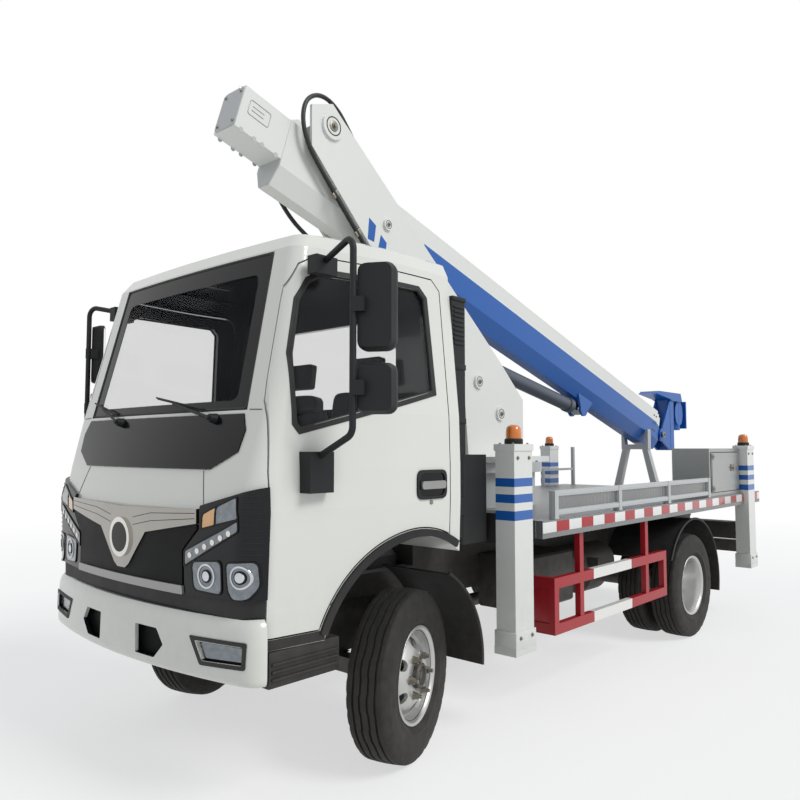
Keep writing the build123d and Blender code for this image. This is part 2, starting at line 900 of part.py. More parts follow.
# Rear end: underrun bar and lamps
with BuildPart() as underrun_bar:
    with Locations(at(0, 4800, 560)):
        Box(1960, 60, 110)
    for sign in (-1, 1):
        with Locations(at(sign * rail_mid, 4800, 620)):
            Box(60, 40, 230)
pieces["underrun_bar"] = underrun_bar

with BuildPart() as tail_lamps:
    for sign in (-1, 1):
        with Locations(at(sign * 840, deck_rear + 15, deck_top - 55)):
            Box(300, 30, 80)
pieces["tail_lamps"] = tail_lamps

# Turntable pedestal with its bearing, and the leaning turret of two plates
with BuildPart() as turntable:
    with BuildSketch(top.offset(deck_top)):
        with Locations((0, turret_y)):
            Circle(400)
    extrude(amount=240)
    with BuildSketch(top.offset(deck_top + 240)):
        with Locations((0, turret_y)):
            Circle(450)
    extrude(amount=70)
pieces["turntable"] = turntable

turret_base = deck_top + 310
turret_outline = (
    (1440, turret_base),
    (2131, turret_base),
    (2131, 1861),
    (lift_base_y + 728, lift_base_z - 137),
    (pivot_y + 87, pivot_z + 71),
    (pivot_y + 7, pivot_z + 139),
    (pivot_y - 153, pivot_z + 83),
    (pivot_y - 151, pivot_z - 154),
    (lift_base_y - 644, lift_base_z + 457),
    (lift_base_y + 298, lift_base_z - 439),
)
turret_bosses = (
    (pivot_y, pivot_z, 78),
    (lift_base_y, lift_base_z, 62),
    (lift_base_y - 494, lift_base_z + 614, 36),
    (lift_base_y + 451, lift_base_z - 301, 50),
    (1819, 1745, 50),
)
plate_mid = turret_half - turret_plate / 2
with BuildPart() as turret:
    for sign in (-1, 1):
        with BuildSketch(side.offset(sign * plate_mid - turret_plate / 2)):
            Polygon(*turret_outline, align=None)
        extrude(amount=turret_plate)
    with Locations(at(0, turret_y, turret_base + 20)):
        Box(760, 700, 40)
    with BuildSketch(side):
        Polygon((2105, turret_base), (2131, turret_base), (2131, 1840), (2105, 1860), align=None)
        Polygon(
            (lift_base_y - 540, lift_base_z + 358),
            (lift_base_y + 298, lift_base_z - 439),
            (1440, turret_base),
            (1466, turret_base),
            (lift_base_y + 324, lift_base_z - 427),
            (lift_base_y - 518, lift_base_z + 375),
            align=None,
        )
    extrude(amount=turret_half - 4, both=True)
    with BuildSketch(side):
        with Locations((pivot_y, pivot_z), (lift_base_y, lift_base_z)):
            Circle(boom_pin_radius)
    extrude(amount=turret_half, both=True)
    for y, z, radius in turret_bosses:
        for sign in (-1, 1):
            with BuildSketch(side.offset(sign * turret_half)):
                with Locations((y, z)):
                    Circle(radius)
            extrude(amount=sign * 16)
pieces["turret"] = turret

# Hydraulic hoses clamped along the turret's front edges: one goes over the top, one hangs in a loop
hose_radius = 13
hose_x = turret_half - turret_plate / 2
inner_x = 121
clip_reach = 54
upper_edge = ((lift_base_y - 644 - (pivot_y - 151)), (lift_base_z + 457 - (pivot_z - 154)))
edge_run = Vector(0, *upper_edge).normalized()
edge_out = Vector(0, edge_run.Z, -edge_run.Y)
left_route = (
    (hose_x, lift_base_y - 454, lift_base_z + 221),
    (hose_x, pivot_y - 109, pivot_z - 253),
    (hose_x, pivot_y - 214, pivot_z - 71),
    (hose_x - 6, pivot_y - 199, pivot_z + 89),
    (hose_x - 13, pivot_y - 99, pivot_z + 172),
    (inner_x + 5, pivot_y + 31, pivot_z + 172),
    (inner_x, pivot_y + 161, pivot_z + 69),
    (inner_x, pivot_y + 421, pivot_z - 271),
)
right_route = (
    (-hose_x, pivot_y - 140, pivot_z + 49),
    (-hose_x, pivot_y - 225, pivot_z + 49),
    (-hose_x, pivot_y - 220, pivot_z - 231),
    (-hose_x, pivot_y - 115, pivot_z - 426),
    (-hose_x, pivot_y + 76, pivot_z - 573),
    (-hose_x, lift_base_y - 530, lift_base_z + 360),
)
with BuildPart() as turret_hoses:
    for route in (left_route, right_route):
        with BuildLine() as hose_line:
            FilletPolyline(*[at(*point).position for point in route], radius=55)
        with BuildSketch(Plane(origin=hose_line.line @ 0, z_dir=hose_line.line % 0)):
            Circle(hose_radius)
        sweep()
    for along in (298, 560):
        foot = at(hose_x, pivot_y - 151, pivot_z - 154).position + edge_run * along
        with BuildSketch(Plane(origin=foot, x_dir=edge_run, z_dir=edge_out)):
            Rectangle(34, turret_plate)
        extrude(amount=clip_reach)
    inner_face = turret_half - turret_plate
    with Locations(at((inner_face + inner_x - hose_radius) / 2, pivot_y + 390, pivot_z - 230)):
        Box(inner_face - inner_x + hose_radius, 44, 40)
    add(turret.part, mode=Mode.SUBTRACT)
pieces["turret_hoses"] = turret_hoses

# Boom planes: along the boom seen from the side, and across it
boom_dir = (0, cos(slope), -sin(slope))
pivot = (0, front_axle_y + pivot_y, pivot_z)
boom_side_plane = Plane(origin=pivot, x_dir=boom_dir, z_dir=(1, 0, 0))
boom_cross = Plane(origin=pivot, x_dir=(-1, 0, 0), z_dir=boom_dir)


def boom_tube(first, last, inset, wall):
    """A hollow boom section between two stations along the boom."""
    bottom = boom_top - boom_height
    knee = boom_top - boom_side
    with BuildPart() as tube:
        for step, mode in ((inset, Mode.ADD), (inset + wall, Mode.SUBTRACT)):
            with BuildSketch(boom_cross.offset(first)):
                Polygon(
                    (-boom_half, boom_top),
                    (boom_half, boom_top),
                    (boom_half, knee),
                    (boom_keel, bottom),
                    (-boom_keel, bottom),
                    (-boom_half, knee),
                    align=None,
                )
                if step:
                    offset(amount=-step, kind=Kind.INTERSECTION)
            extrude(amount=last - first, mode=mode)
    return tube.part


section_step = boom_wall + section_gap
with BuildPart() as boom_outer:
    add(boom_tube(tail_step, outer_end, 0, boom_wall))
    with BuildSketch(boom_cross.offset(tail_reach)):
        with Locations((0, boom_top - 125)):
            Rectangle(2 * boom_half - 10, 250)
    extrude(amount=tail_step - tail_reach + 20)
    for sign in (-1, 1):
        with BuildSketch(boom_side_plane.offset(sign * 88 - 12)):
            with BuildLine():
                ThreePointArc((-70, 0), (0, 70), (70, 0))
                Polyline((70, 0), (150, boom_top - 5), (-150, boom_top - 5), (-70, 0))
            make_face()
        extrude(amount=24)
    with BuildSketch(boom_side_plane):
        Circle(boom_pin_radius + 1)
    extrude(amount=200, both=True, mode=Mode.SUBTRACT)
    for sign in (-1, 1):
        with BuildSketch(boom_side_plane.offset(sign * 58 - 9)):
            with BuildLine():
                ThreePointArc(
                    (lift_eye_along - 62, lift_eye_drop),
                    (lift_eye_along, lift_eye_drop - 62),
                    (lift_eye_along + 62, lift_eye_drop),
                )
                Polyline(
                    (lift_eye_along + 62, lift_eye_drop),
                    (lift_eye_along + 150, boom_top - boom_height + 60),
                    (lift_eye_along - 150, boom_top - boom_height + 60),
                    (lift_eye_along - 62, lift_eye_drop),
                )
            make_face()
        extrude(amount=18)
    add(boom_tube(tail_step + 20, outer_end, boom_wall, 60), mode=Mode.SUBTRACT)
    add(boom_tube(outer_end - 90, outer_end, boom_wall, section_gap - running_gap))
pieces["boom_outer"] = boom_outer

with BuildPart() as boom_middle:
    add(boom_tube(tail_step + 60, middle_end, section_step, boom_wall))
    add(boom_tube(middle_end - 90, middle_end, section_step + boom_wall, section_gap - running_gap))
pieces["boom_middle"] = boom_middle

with BuildPart() as boom_inner:
    add(boom_tube(tail_step + 120, inner_end, 2 * section_step, boom_wall))
    with BuildSketch(boom_side_plane):
        with BuildLine():
            Polyline(
                (level_along, level_drop + 60),
                (inner_end - 40, boom_top - 2 * section_step - 60),
                (inner_end - 40, boom_top - boom_height + 2 * section_step + 60),
                (level_along, level_drop - 60),
            )
            ThreePointArc(
                (level_along, level_drop - 60),
                (level_along + 60, level_drop),
                (level_along, level_drop + 60),
            )
        make_face()
    extrude(amount=50, both=True)
    with BuildSketch(boom_side_plane):
        with Locations((level_along, level_drop)):
            Circle(26)
    extrude(amount=100, both=True, mode=Mode.SUBTRACT)
pieces["boom_inner"] = boom_inner

# Platform bracket, kept level at the boom's end
level_point = boom_side_plane.from_local_coords(Vector(level_along, level_drop, 0))
level_y = level_point.Y - front_axle_y
level_z = level_point.Z
head_half = 84
head_post = 5150
head_low = 1470
head_high = 2090
head_overhang = 380
drum_y = head_post + 280
with BuildPart() as platform_head:
    for sign in (-1, 1):
        with BuildSketch(side.offset(sign * 72 - 10)):
            with BuildLine():
                ThreePointArc((level_y, level_z - 64), (level_y - 64, level_z), (level_y, level_z + 64))
                Polyline(
                    (level_y, level_z + 64),
                    (head_post, head_high - 80),
                    (head_post + 90, head_high - 80),
                    (head_post + 90, head_low),
                    (head_post, head_low),
                    (level_y, level_z - 64),
                )
            make_face()
        extrude(amount=20)
    with Locations(at(0, head_post + 45, (head_low + head_high) / 2)):
        Box(2 * head_half, 90, head_high - head_low)
    with BuildSketch(side):
        with Locations((level_y, level_z)):
            Circle(25)
    extrude(amount=head_half + 14, both=True)
    with BuildSketch(side) as cover:
        Polygon(
            (head_post - head_overhang, head_high - 30),
            (head_post - head_overhang + 60, head_high),
            (head_post + 260, head_high),
            (head_post + 300, head_high - 90),
            (head_post + 40, head_high - 90),
            (head_post - 40, head_high - 70),
            align=None,
        )
    extrude(amount=head_half + 16, both=True)
    with BuildSketch(top.offset(head_high - 400)):
        with Locations((0, drum_y)):
            Circle(70)
    extrude(amount=330)
    for sign in (-1, 1):
        with BuildSketch(side.offset(sign * 60 - 8)):
            with Locations((drum_y, head_high - 215)):
                Ellipse(105, 135)
        extrude(amount=16)
    with Locations(at(0, rear_reach - 10, head_high - 230)):
        Box(170, 20, 300)
    with Locations(at(0, (drum_y + rear_reach) / 2, head_high - 230)):
        Box(90, rear_reach - drum_y - 10, 200)
    with Locations(at(0, (head_post + drum_y) / 2, head_high - 230)):
        Box(90, drum_y - head_post, 200)
pieces["platform_head"] = platform_head

# Lift cylinder between the turret and the boom, barrel and rod
eye_point = boom_side_plane.from_local_coords(Vector(lift_eye_along, lift_eye_drop, 0))
lift_base = Vector(0, front_axle_y + lift_base_y, lift_base_z)
lift_line = eye_point - lift_base
lift_length = lift_line.length
lift_side = Plane(origin=lift_base, x_dir=lift_line.normalized(), z_dir=(1, 0, 0))
lift_cross = Plane(origin=lift_base, x_dir=(-1, 0, 0), z_dir=lift_line.normalized())
barrel_end = lift_length - 150
rod_start = 190
with BuildPart() as lift_barrel:
    with BuildSketch(lift_side):
        Circle(70)
    extrude(amount=55, both=True)
    with BuildSketch(lift_cross.offset(40)):
        Circle(barrel_radius)
    extrude(amount=barrel_end - 40)
    with BuildSketch(lift_cross.offset(barrel_end - 60)):
        Circle(barrel_radius + 8)
    extrude(amount=60)
    with BuildSketch(lift_cross.offset(rod_start - 60)):
        Circle(rod_radius + 1)
    extrude(amount=barrel_end, mode=Mode.SUBTRACT)
    with BuildSketch(lift_side):
        Circle(boom_pin_radius + 1)
    extrude(amount=100, both=True, mode=Mode.SUBTRACT)
pieces["lift_barrel"] = lift_barrel

with BuildPart() as lift_rod:
    with BuildSketch(lift_cross.offset(rod_start)):
        Circle(rod_radius)
    extrude(amount=lift_length - rod_start - 20)
    with BuildSketch(lift_side):
        with Locations((lift_length, 0)):
            Circle(50)
    extrude(amount=40, both=True)
    with BuildSketch(lift_side):
        with Locations((lift_length, 0)):
            Circle(27)
    extrude(amount=100, both=True, mode=Mode.SUBTRACT)
pieces["lift_rod"] = lift_rod

# Wheels: front ones on steered knuckles, rear ones in pairs on one hub
tyre_half = tyre_width / 2


# Half of the tyre's section: distance from the middle, radius
tyre_profile = (
    (0, rim_radius),
    (75, rim_radius),
    (75, flange_radius + 1),
    (84, flange_radius + 8),
    (tyre_half, wheel_height - 100),
    (tyre_half - 8, wheel_height - 30),
    (tyre_half - 26, wheel_height - 4),
    (34, wheel_height),
    (34, wheel_height - 12),
    (22, wheel_height - 12),
    (22, wheel_height),
    (0, wheel_height),
)


def tyre_ring(plane, centre):
    """One tyre about a hub plane whose x runs along the axle."""
    with BuildPart() as ring:
        with BuildSketch(plane):
            for flank in (-1, 1):
                with BuildLine():
                    half = [(centre + flank * across, radius) for across, radius in tyre_profile]
                    Polyline(*half, close=True)
                make_face()
        revolve(axis=Axis(plane.origin, plane.x_dir))
    return ring.part


def rim_ring(plane, centre, disc):
    """One rim with its barrel, flanges and disc, the disc given along the axle."""
    with BuildPart() as ring:
        with BuildSketch(plane):
            with BuildLine():
                Polyline(
                    (centre - 75, rim_radius),
                    (centre - 75, flange_radius),
                    (centre - 88, flange_radius),
                    (centre - 88, rim_radius - 12),
                    (centre + 88, rim_radius - 12),
                    (centre + 88, flange_radius),
                    (centre + 75, flange_radius),
                    (centre + 75, rim_radius),
                    close=True,
                )
            make_face()
            with BuildLine():
                Polyline(
                    (disc - 7, 0),
                    (disc - 7, 150),
                    (centre - 20, rim_radius - 10),
                    (centre, rim_radius - 10),
                    (disc + 7, 150),
                    (disc + 7, 0),
                    close=True,
                )
            make_face()
        revolve(axis=Axis(plane.origin, plane.x_dir))
    return ring.part


for name, sign in (("left", 1), ("right", -1)):
    turn = parked_steer
    kingpin = at(sign * kingpin_x, 0, wheel_height) * Rotation(0, 0, turn)
    out = Vector(sign * cos(radians(turn)), sign * sin(radians(turn)), 0)
    hub = Plane(origin=kingpin.position, x_dir=out, z_dir=out.cross(Vector(0, 0, 1)))
    centre = front_wheel_x - kingpin_x
    with BuildPart() as tyre:
        add(tyre_ring(hub, centre))
    pieces["front_" + name + "_tyre"] = tyre
    with BuildPart() as rim:
        add(rim_ring(hub, centre, centre + 60))
        with BuildSketch(Plane(origin=hub.origin, z_dir=out).offset(centre + 60 - 50)):
            Circle(62)
        extrude(amount=100)
        with BuildSketch(Plane(origin=hub.origin, z_dir=out).offset(centre + 60)):
            with PolarLocations(95, 6):
                Circle(13)
        extrude(amount=28)
        with BuildSketch(Plane(origin=hub.origin, z_dir=out).offset(centre - 10)):
            Circle(spindle_radius + 1)
        extrude(amount=60, mode=Mode.SUBTRACT)
    pieces["front_" + name + "_rim"] = rim
    with BuildPart() as knuckle:
        face = Plane(origin=hub.origin, z_dir=out)
        for low, high in ((-92, -boss_height / 2 - 5), (boss_height / 2 + 5, 92)):
            with BuildSketch(Plane(origin=hub.origin, x_dir=out, z_dir=(0, 0, 1)).offset(low)):
                Circle(boss_radius)
                with Locations((32, 0)):
                    Rectangle(64, 2 * boss_radius)
            extrude(amount=high - low)
        with BuildSketch(face.offset(44)):
            Circle(96)
        extrude(amount=20)
        with BuildSketch(face.offset(64)):
            Circle(165)
        extrude(amount=30)
        with BuildSketch(face.offset(64)):
            Circle(spindle_radius)
        extrude(amount=centre - 64 + 40)
        with BuildSketch(Plane(origin=hub.origin, x_dir=out, z_dir=(0, 0, 1)).offset(-92)):
            Circle(pin_radius)
        extrude(amount=184)
    pieces["front_" + name + "_knuckle"] = knuckle

    rear_hub = Plane(
        origin=at(0, wheelbase, wheel_height).position, x_dir=(sign, 0, 0), z_dir=(0, -sign, 0)
    )
    with BuildPart() as tyres:
        add(tyre_ring(rear_hub, rear_outer_x))
        add(tyre_ring(rear_hub, rear_inner_x))
    pieces["rear_" + name + "_tyres"] = tyres
    with BuildPart() as rims:
        add(rim_ring(rear_hub, rear_outer_x, hub_face + 6))
        add(rim_ring(rear_hub, rear_inner_x, hub_face - 6))
        rear_face = Plane(origin=rear_hub.origin, z_dir=rear_hub.x_dir)
        with BuildSketch(rear_face.offset(hub_face - 50)):
            Circle(80)
        extrude(amount=130)
        with BuildSketch(rear_face.offset(hub_face)):
            with PolarLocations(110, 6):
                Circle(13)
        extrude(amount=40)
        with BuildSketch(rear_face.offset(hub_face - 60)):
            Circle(spindle_radius + 1)
        extrude(amount=70, mode=Mode.SUBTRACT)
    pieces["rear_" + name + "_rims"] = rims

# One file per piece
for node, piece in pieces.items():
    piece.part.label = node
    export_step(piece.part, f"parts/{node}.step")
print(len(pieces), "pieces; lift cylinder", round(lift_length), "long")
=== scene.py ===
# %% [markdown]
# A small boom lift: a light truck whose folded boom leans over the cab and rests on its deck.
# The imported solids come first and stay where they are. This lesson dresses them with paint,
# glass, rubber and metal, and adds the thin pieces that a solid model leaves out.

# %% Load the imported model
import math

import bmesh
import bpy
from mathutils import Matrix, Vector
from mathutils.bvhtree import BVHTree


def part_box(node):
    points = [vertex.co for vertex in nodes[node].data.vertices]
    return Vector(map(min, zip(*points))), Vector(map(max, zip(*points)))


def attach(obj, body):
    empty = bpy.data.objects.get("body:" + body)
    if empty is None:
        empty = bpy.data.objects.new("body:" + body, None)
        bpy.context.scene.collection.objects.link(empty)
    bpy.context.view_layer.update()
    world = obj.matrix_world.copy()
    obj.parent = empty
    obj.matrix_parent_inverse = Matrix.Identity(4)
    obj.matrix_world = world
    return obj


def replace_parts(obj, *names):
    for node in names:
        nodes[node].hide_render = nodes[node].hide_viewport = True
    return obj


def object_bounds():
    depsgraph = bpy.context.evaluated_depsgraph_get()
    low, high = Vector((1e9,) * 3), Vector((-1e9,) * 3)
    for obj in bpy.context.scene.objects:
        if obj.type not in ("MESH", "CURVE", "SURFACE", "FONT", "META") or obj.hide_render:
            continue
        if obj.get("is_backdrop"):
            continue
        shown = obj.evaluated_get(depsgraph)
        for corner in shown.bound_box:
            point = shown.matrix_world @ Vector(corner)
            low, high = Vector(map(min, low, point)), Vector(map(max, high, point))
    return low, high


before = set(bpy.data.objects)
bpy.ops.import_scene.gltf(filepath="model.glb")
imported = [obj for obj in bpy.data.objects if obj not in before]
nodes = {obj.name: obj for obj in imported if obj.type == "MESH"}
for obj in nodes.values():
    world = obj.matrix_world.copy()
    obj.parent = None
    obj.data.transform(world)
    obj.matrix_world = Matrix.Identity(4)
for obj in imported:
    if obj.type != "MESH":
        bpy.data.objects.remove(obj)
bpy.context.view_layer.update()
print("loaded", len(nodes), "solids")

# %% [markdown]
# Every length below is read from the front axle, as on a truck maker's drawing. The axle's own
# place comes from the boxes of the two front tyres, which stand the same way out on each side.

# %% Measure from the front axle
tyre_boxes = [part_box("front_left_tyre"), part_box("front_right_tyre")]
axle_y = sum(low.y + high.y for low, high in tyre_boxes) / 4


def place(x, y, z):
    """A point in millimetres: to the left, back from the front axle, and up from the ground."""
    return Vector((x / 1000, y / 1000 + axle_y, z / 1000))


print("front axle at", round(axle_y, 3))

# %% [markdown]
# The camera stands at the front left, a little below the driver's eyes, and looks slightly up.
# A lens of 33 mm on a 36 mm sensor gives the same spread of lines as the photograph.

# %% Camera
scene = bpy.context.scene
heading = math.radians(42.1)
climb = math.radians(3.7)
gaze = Vector((-math.sin(heading) * math.cos(climb), math.cos(heading) * math.cos(climb), math.sin(climb)))
camera = bpy.data.objects.new("camera", bpy.data.cameras.new("camera"))
scene.collection.objects.link(camera)
camera.location = place(3243, -2685, 1496.6)
camera.rotation_mode = "QUATERNION"
camera.rotation_quaternion = gaze.to_track_quat("-Z", "Y")
camera.data.sensor_width = 36
camera.data.lens = 33.19
camera.data.clip_end = 300
scene.camera = camera
print("camera at", [round(v, 2) for v in camera.location])

# %% [markdown]
# Colours are written as the hex values a colour chart gives, and one function turns them to the
# linear light that the shader counts in. One more function adds a node, sets it and links it.

# %% Colour and node helpers


def linear(code, strength=1.0):
    """A chart colour such as 1F5FC4 as linear red, green, blue and alpha."""
    parts = [int(code[i : i + 2], 16) / 255 for i in (0, 2, 4)]
    light = [p / 12.92 if p <= 0.04045 else ((p + 0.055) / 1.055) ** 2.4 for p in parts]
    return (*[min(1.0, p * strength) for p in light], 1.0)


def add_node(tree, kind, settings=None, links=None):
    """A shader node with its settings; a link gives a socket, or a node for its first output."""
    node = tree.nodes.new("ShaderNode" + kind)
    for name, value in (settings or {}).items():
        if isinstance(name, str) and hasattr(node, name):
            setattr(node, name, value)
        else:
            node.inputs[name].default_value = value
    for name, source in (links or {}).items():
        tree.links.new(getattr(source, "outputs", [source])[0], node.inputs[name])
    return node


print("white is", linear("FFFFFF"))

# %% [markdown]
# The light is a bright overcast day: an even sky, and one broad soft lamp from the left and
# behind, so the door side is bright and the face is in half shade. What the camera sees behind
# the truck is plain white, also in glass and chrome, and the floor keeps the truck's shadow.

# %% Sky, lamp and floor
world = bpy.data.worlds.new("overcast_sky")
world.use_nodes = True
scene.world = world
white = (1, 1, 1, 1)


def seen_rays(tree):
    """One where a ray comes from the camera, a mirror or a pane of glass, else nothing."""
    path = add_node(tree, "LightPath")
    glass = {0: path.outputs["Is Glossy Ray"], 1: path.outputs["Is Transmission Ray"]}
    shiny = add_node(tree, "Math", {"operation": "MAXIMUM"}, glass)
    return add_node(tree, "Math", {"operation": "MAXIMUM"}, {0: path.outputs["Is Camera Ray"], 1: shiny})


sky = world.node_tree
sky.nodes.clear()
skylight = add_node(sky, "Background", {"Color": linear("E6EBF2"), "Strength": 0.56})
backdrop = add_node(sky, "Background", {"Color": white, "Strength": 1.0})
sky_mix = add_node(sky, "MixShader", None, {0: seen_rays(sky), 1: skylight, 2: backdrop})
add_node(sky, "OutputWorld", None, {0: sky_mix})

lamp = bpy.data.objects.new("soft_sun", bpy.data.lights.new("soft_sun", "SUN"))
scene.collection.objects.link(lamp)
lamp.data.energy = 1.75
lamp.data.angle = math.radians(24)
lamp.rotation_mode = "QUATERNION"
lamp.rotation_quaternion = Vector((-0.78, -0.16, -0.72)).to_track_quat("-Z", "Y")

# Near the truck the floor is more than half plain white; from 4 to 12 m out it fades to white.
floor_mesh = bpy.data.meshes.new("floor")
floor_mesh.from_pydata([(-90, -90, 0), (90, -90, 0), (90, 90, 0), (-90, 90, 0)], [], [(0, 1, 2, 3)])
floor = bpy.data.objects.new("floor", floor_mesh)
scene.collection.objects.link(floor)
floor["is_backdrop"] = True
floor_paint = bpy.data.materials.new("matt_floor_paint")
floor_paint.use_nodes = True
ground = floor_paint.node_tree
ground.nodes.clear()
matt = add_node(ground, "BsdfDiffuse", {"Color": linear("F2F2F0")})
glow = add_node(ground, "Emission", {"Color": white, "Strength": 1.0})
where = add_node(ground, "TexCoord").outputs["Object"]
away = add_node(ground, "VectorMath", {"operation": "LENGTH"}, {0: where}).outputs["Value"]
fade = add_node(ground, "MapRange", {1: 4.0, 2: 12.0, 3: 0.62, 4: 1.0}, {0: away})
share = add_node(ground, "Math", {"operation": "MULTIPLY"}, {0: fade, 1: seen_rays(ground)})
floor_mix = add_node(ground, "MixShader", None, {0: share, 1: matt, 2: glow})
add_node(ground, "OutputMaterial", None, {0: floor_mix})
floor_mesh.materials.append(floor_paint)
scene.view_settings.view_transform = "Standard"
print("sky, lamp and floor set")

# %% [markdown]
# Most surfaces of a truck are one colour that is never quite even: the coat is thicker here and
# thinner there, dust lies low down, and a moulded skin has a fine grain. One recipe makes them
# all from real sizes in millimetres: a slow change of shade, a fine relief, and dust near the
# ground. Gloss follows the same slow change, because a thin coat is duller.

# %% The recipe for a surface
finishes = {}
dust_colour = linear("8A8378")
dust_from, dust_full = 1.15, 0.35
speck_scale = 18.0


def finish(name, slot, colour, roughness, patch=(350, 0.05), grain=(3, 0.0), soil=0.0, **sockets):
    """A named surface: patch is the size and depth of its shade, grain those of its relief."""
    material = bpy.data.materials.new(name)
    material.use_nodes = True
    tree = material.node_tree
    shader = tree.nodes["Principled BSDF"]
    for socket, value in sockets.items():
        shader.inputs[socket.replace("_", " ")].default_value = value
    spot = add_node(tree, "TexCoord").outputs["Object"]
    cloud = add_node(tree, "TexNoise", {"Scale": 1000 / patch[0], "Detail": 6.0}, {"Vector": spot})
    shades = {6: linear(colour, 1 - patch[1]), 7: linear(colour, 1 + patch[1])}
    tint = add_node(tree, "Mix", {"data_type": "RGBA", **shades}, {0: cloud}).outputs[2]
    if soil:
        height = add_node(tree, "SeparateXYZ", None, {0: spot}).outputs[2]
        low = add_node(tree, "MapRange", {1: dust_from, 2: dust_full, 3: 0.0, 4: soil}, {0: height})
        specks = add_node(tree, "TexNoise", {"Scale": speck_scale, "Detail": 9.0}, {"Vector": spot})
        amount = add_node(tree, "Math", {"operation": "MULTIPLY"}, {0: low, 1: specks})
        dusty = add_node(tree, "Mix", {"data_type": "RGBA", 7: dust_colour}, {0: amount, 6: tint})
        tint = dusty.outputs[2]
    tree.links.new(tint, shader.inputs["Base Color"])
    limits = {3: roughness * 0.82, 4: min(1.0, roughness * 1.2)}
    gloss = add_node(tree, "MapRange", limits, {0: cloud})
    tree.links.new(gloss.outputs[0], shader.inputs["Roughness"])
    if grain[1]:
        relief = add_node(tree, "TexNoise", {"Scale": 1000 / grain[0], "Detail": 3.0}, {"Vector": spot})
        bump = add_node(tree, "Bump", {"Distance": grain[1] / 1000, "Strength": 0.6}, {"Height": relief})
        tree.links.new(bump.outputs[0], shader.inputs["Normal"])
    finishes[name] = (material, slot)
    return tree, shader, spot, tint


def overpaint(kit, mask, colour):
    """A second colour over a surface where the mask is one; gives back the surface with it."""
    tree, shader, spot, tint = kit
    over = add_node(tree, "Mix", {"data_type": "RGBA", 7: linear(colour)}, {0: mask, 6: tint})
    tree.links.new(over.outputs[2], shader.inputs["Base Color"])
    return tree, shader, spot, over.outputs[2]


def between(tree, value, low, high):
    """One where the value lies between two limits in metres."""
    over = add_node(tree, "Math", {"operation": "GREATER_THAN", 1: low}, {0: value})
    under = add_node(tree, "Math", {"operation": "LESS_THAN", 1: high}, {0: value})
    return add_node(tree, "Math", {"operation": "MULTIPLY"}, {0: over, 1: under})


print("recipe ready")

# %% [markdown]
# Paints first. Cab and boom are baked white enamel with a clear gloss: smooth, bright, with the
# faint ripple that sprayed enamel has. The frame is satin chassis black, which takes up dust.
# The relief of sprayed paint is a few millimetres across, so it only shows in the highlights.

# %% Enamels
blue, film_white = "0B58A8", "E6E4DF"
cab_kit = finish(
    "white_cab_enamel", "cab_white", "DCDCD5", 0.24, (900, 0.025), (9, 0.02), 0.25, Coat_Weight=0.5
)
boom_kit = finish("boom_enamel", "boom_white", "DFE0DB", 0.34, (700, 0.03), (8, 0.03))
leg_kit = finish("leg_enamel", "boom_white", "DCDDD8", 0.32, (400, 0.035), (8, 0.03), 0.3, Coat_Weight=0.25)
finish("turret_enamel", "boom_white", "DFE0DB", 0.3, (600, 0.03), (8, 0.03), Coat_Weight=0.3)
guard_kit = finish("guard_enamel", "guard_red", "A30F1E", 0.36, (250, 0.08), (7, 0.04), 0.1)
finish("blue_enamel", "head_blue", blue, 0.36, (300, 0.06), (8, 0.03))
finish("grey_enamel", "light_grey", "B9BBBB", 0.42, (220, 0.06), (7, 0.04), 0.2)
finish("cylinder_enamel", "cylinder_grey", "4E5560", 0.38, (200, 0.08), (7, 0.04))
finish("chassis_black", "chassis_black", "17181A", 0.55, (180, 0.2), (6, 0.08), 0.5)
finish("cast_iron", "cast_grey", "4A4B4C", 0.62, (60, 0.2), (3, 0.35), 0.5, Metallic=0.55)

# The inside of the cab is lined with dark moulded panels: a face that looks back to the cab's middle
# is painted near black. That is partly the lining's own colour and partly painted shade, since it
# also darkens the window reveals and the other inward faces of the white shell.
cab_middle = place(0, -250, 1500)
tree, shader, spot, tint = cab_kit
facing = add_node(tree, "TexCoord").outputs["Normal"]
from_middle = add_node(tree, "VectorMath", {"operation": "SUBTRACT", 1: cab_middle}, {0: spot})
outward = add_node(tree, "VectorMath", {"operation": "DOT_PRODUCT"}, {0: facing, 1: from_middle})
lining_and_shade = add_node(tree, "Math", {"operation": "LESS_THAN", 1: 0.0}, {0: outward.outputs["Value"]})
# Near black 1D2127 on the inward faces: lining colour and painted shade.
overpaint(cab_kit, lining_and_shade, "1D2127")

# The boom's blue flank: below a line along the boom, from a slanted tip behind the turret.
boom_slope = math.radians(16.5)
boom_dir = Vector((0, math.cos(boom_slope), -math.sin(boom_slope)))
boom_up = Vector((0, math.sin(boom_slope), math.cos(boom_slope)))
pivot = place(0, 139, 3351)
tree, shader, spot, tint = boom_kit
reach = add_node(tree, "VectorMath", {"operation": "SUBTRACT", 1: pivot}, {0: spot})
along = add_node(tree, "VectorMath", {"operation": "DOT_PRODUCT", 1: boom_dir}, {0: reach}).outputs["Value"]
drop = add_node(tree, "VectorMath", {"operation": "DOT_PRODUCT", 1: boom_up}, {0: reach}).outputs["Value"]
below = between(tree, drop, -0.7, -0.215)
slant = add_node(tree, "Math", {"operation": "MULTIPLY_ADD", 1: 0.55}, {0: drop, 2: along})
behind = between(tree, slant, 0.88, 9.0)
overpaint(boom_kit, add_node(tree, "Math", {"operation": "MULTIPLY"}, {0: below, 1: behind}), blue)

# Three blue bands round each outrigger leg, and the white middle of the red side guards.
tree, shader, spot, tint = leg_kit
leg_height = add_node(tree, "SeparateXYZ", None, {0: spot}).outputs[2]
for band_low, band_high in ((1.113, 1.163), (1.205, 1.25), (1.29, 1.335)):
    leg_kit = overpaint(leg_kit, between(tree, leg_height, band_low, band_high), blue)
tree, shader, spot, tint = guard_kit
guard_along = add_node(tree, "SeparateXYZ", None, {0: spot}).outputs[1]
overpaint(guard_kit, between(tree, guard_along, 1.604 + axle_y, 2.143 + axle_y), film_white)
print("enamels:", sorted(finishes))

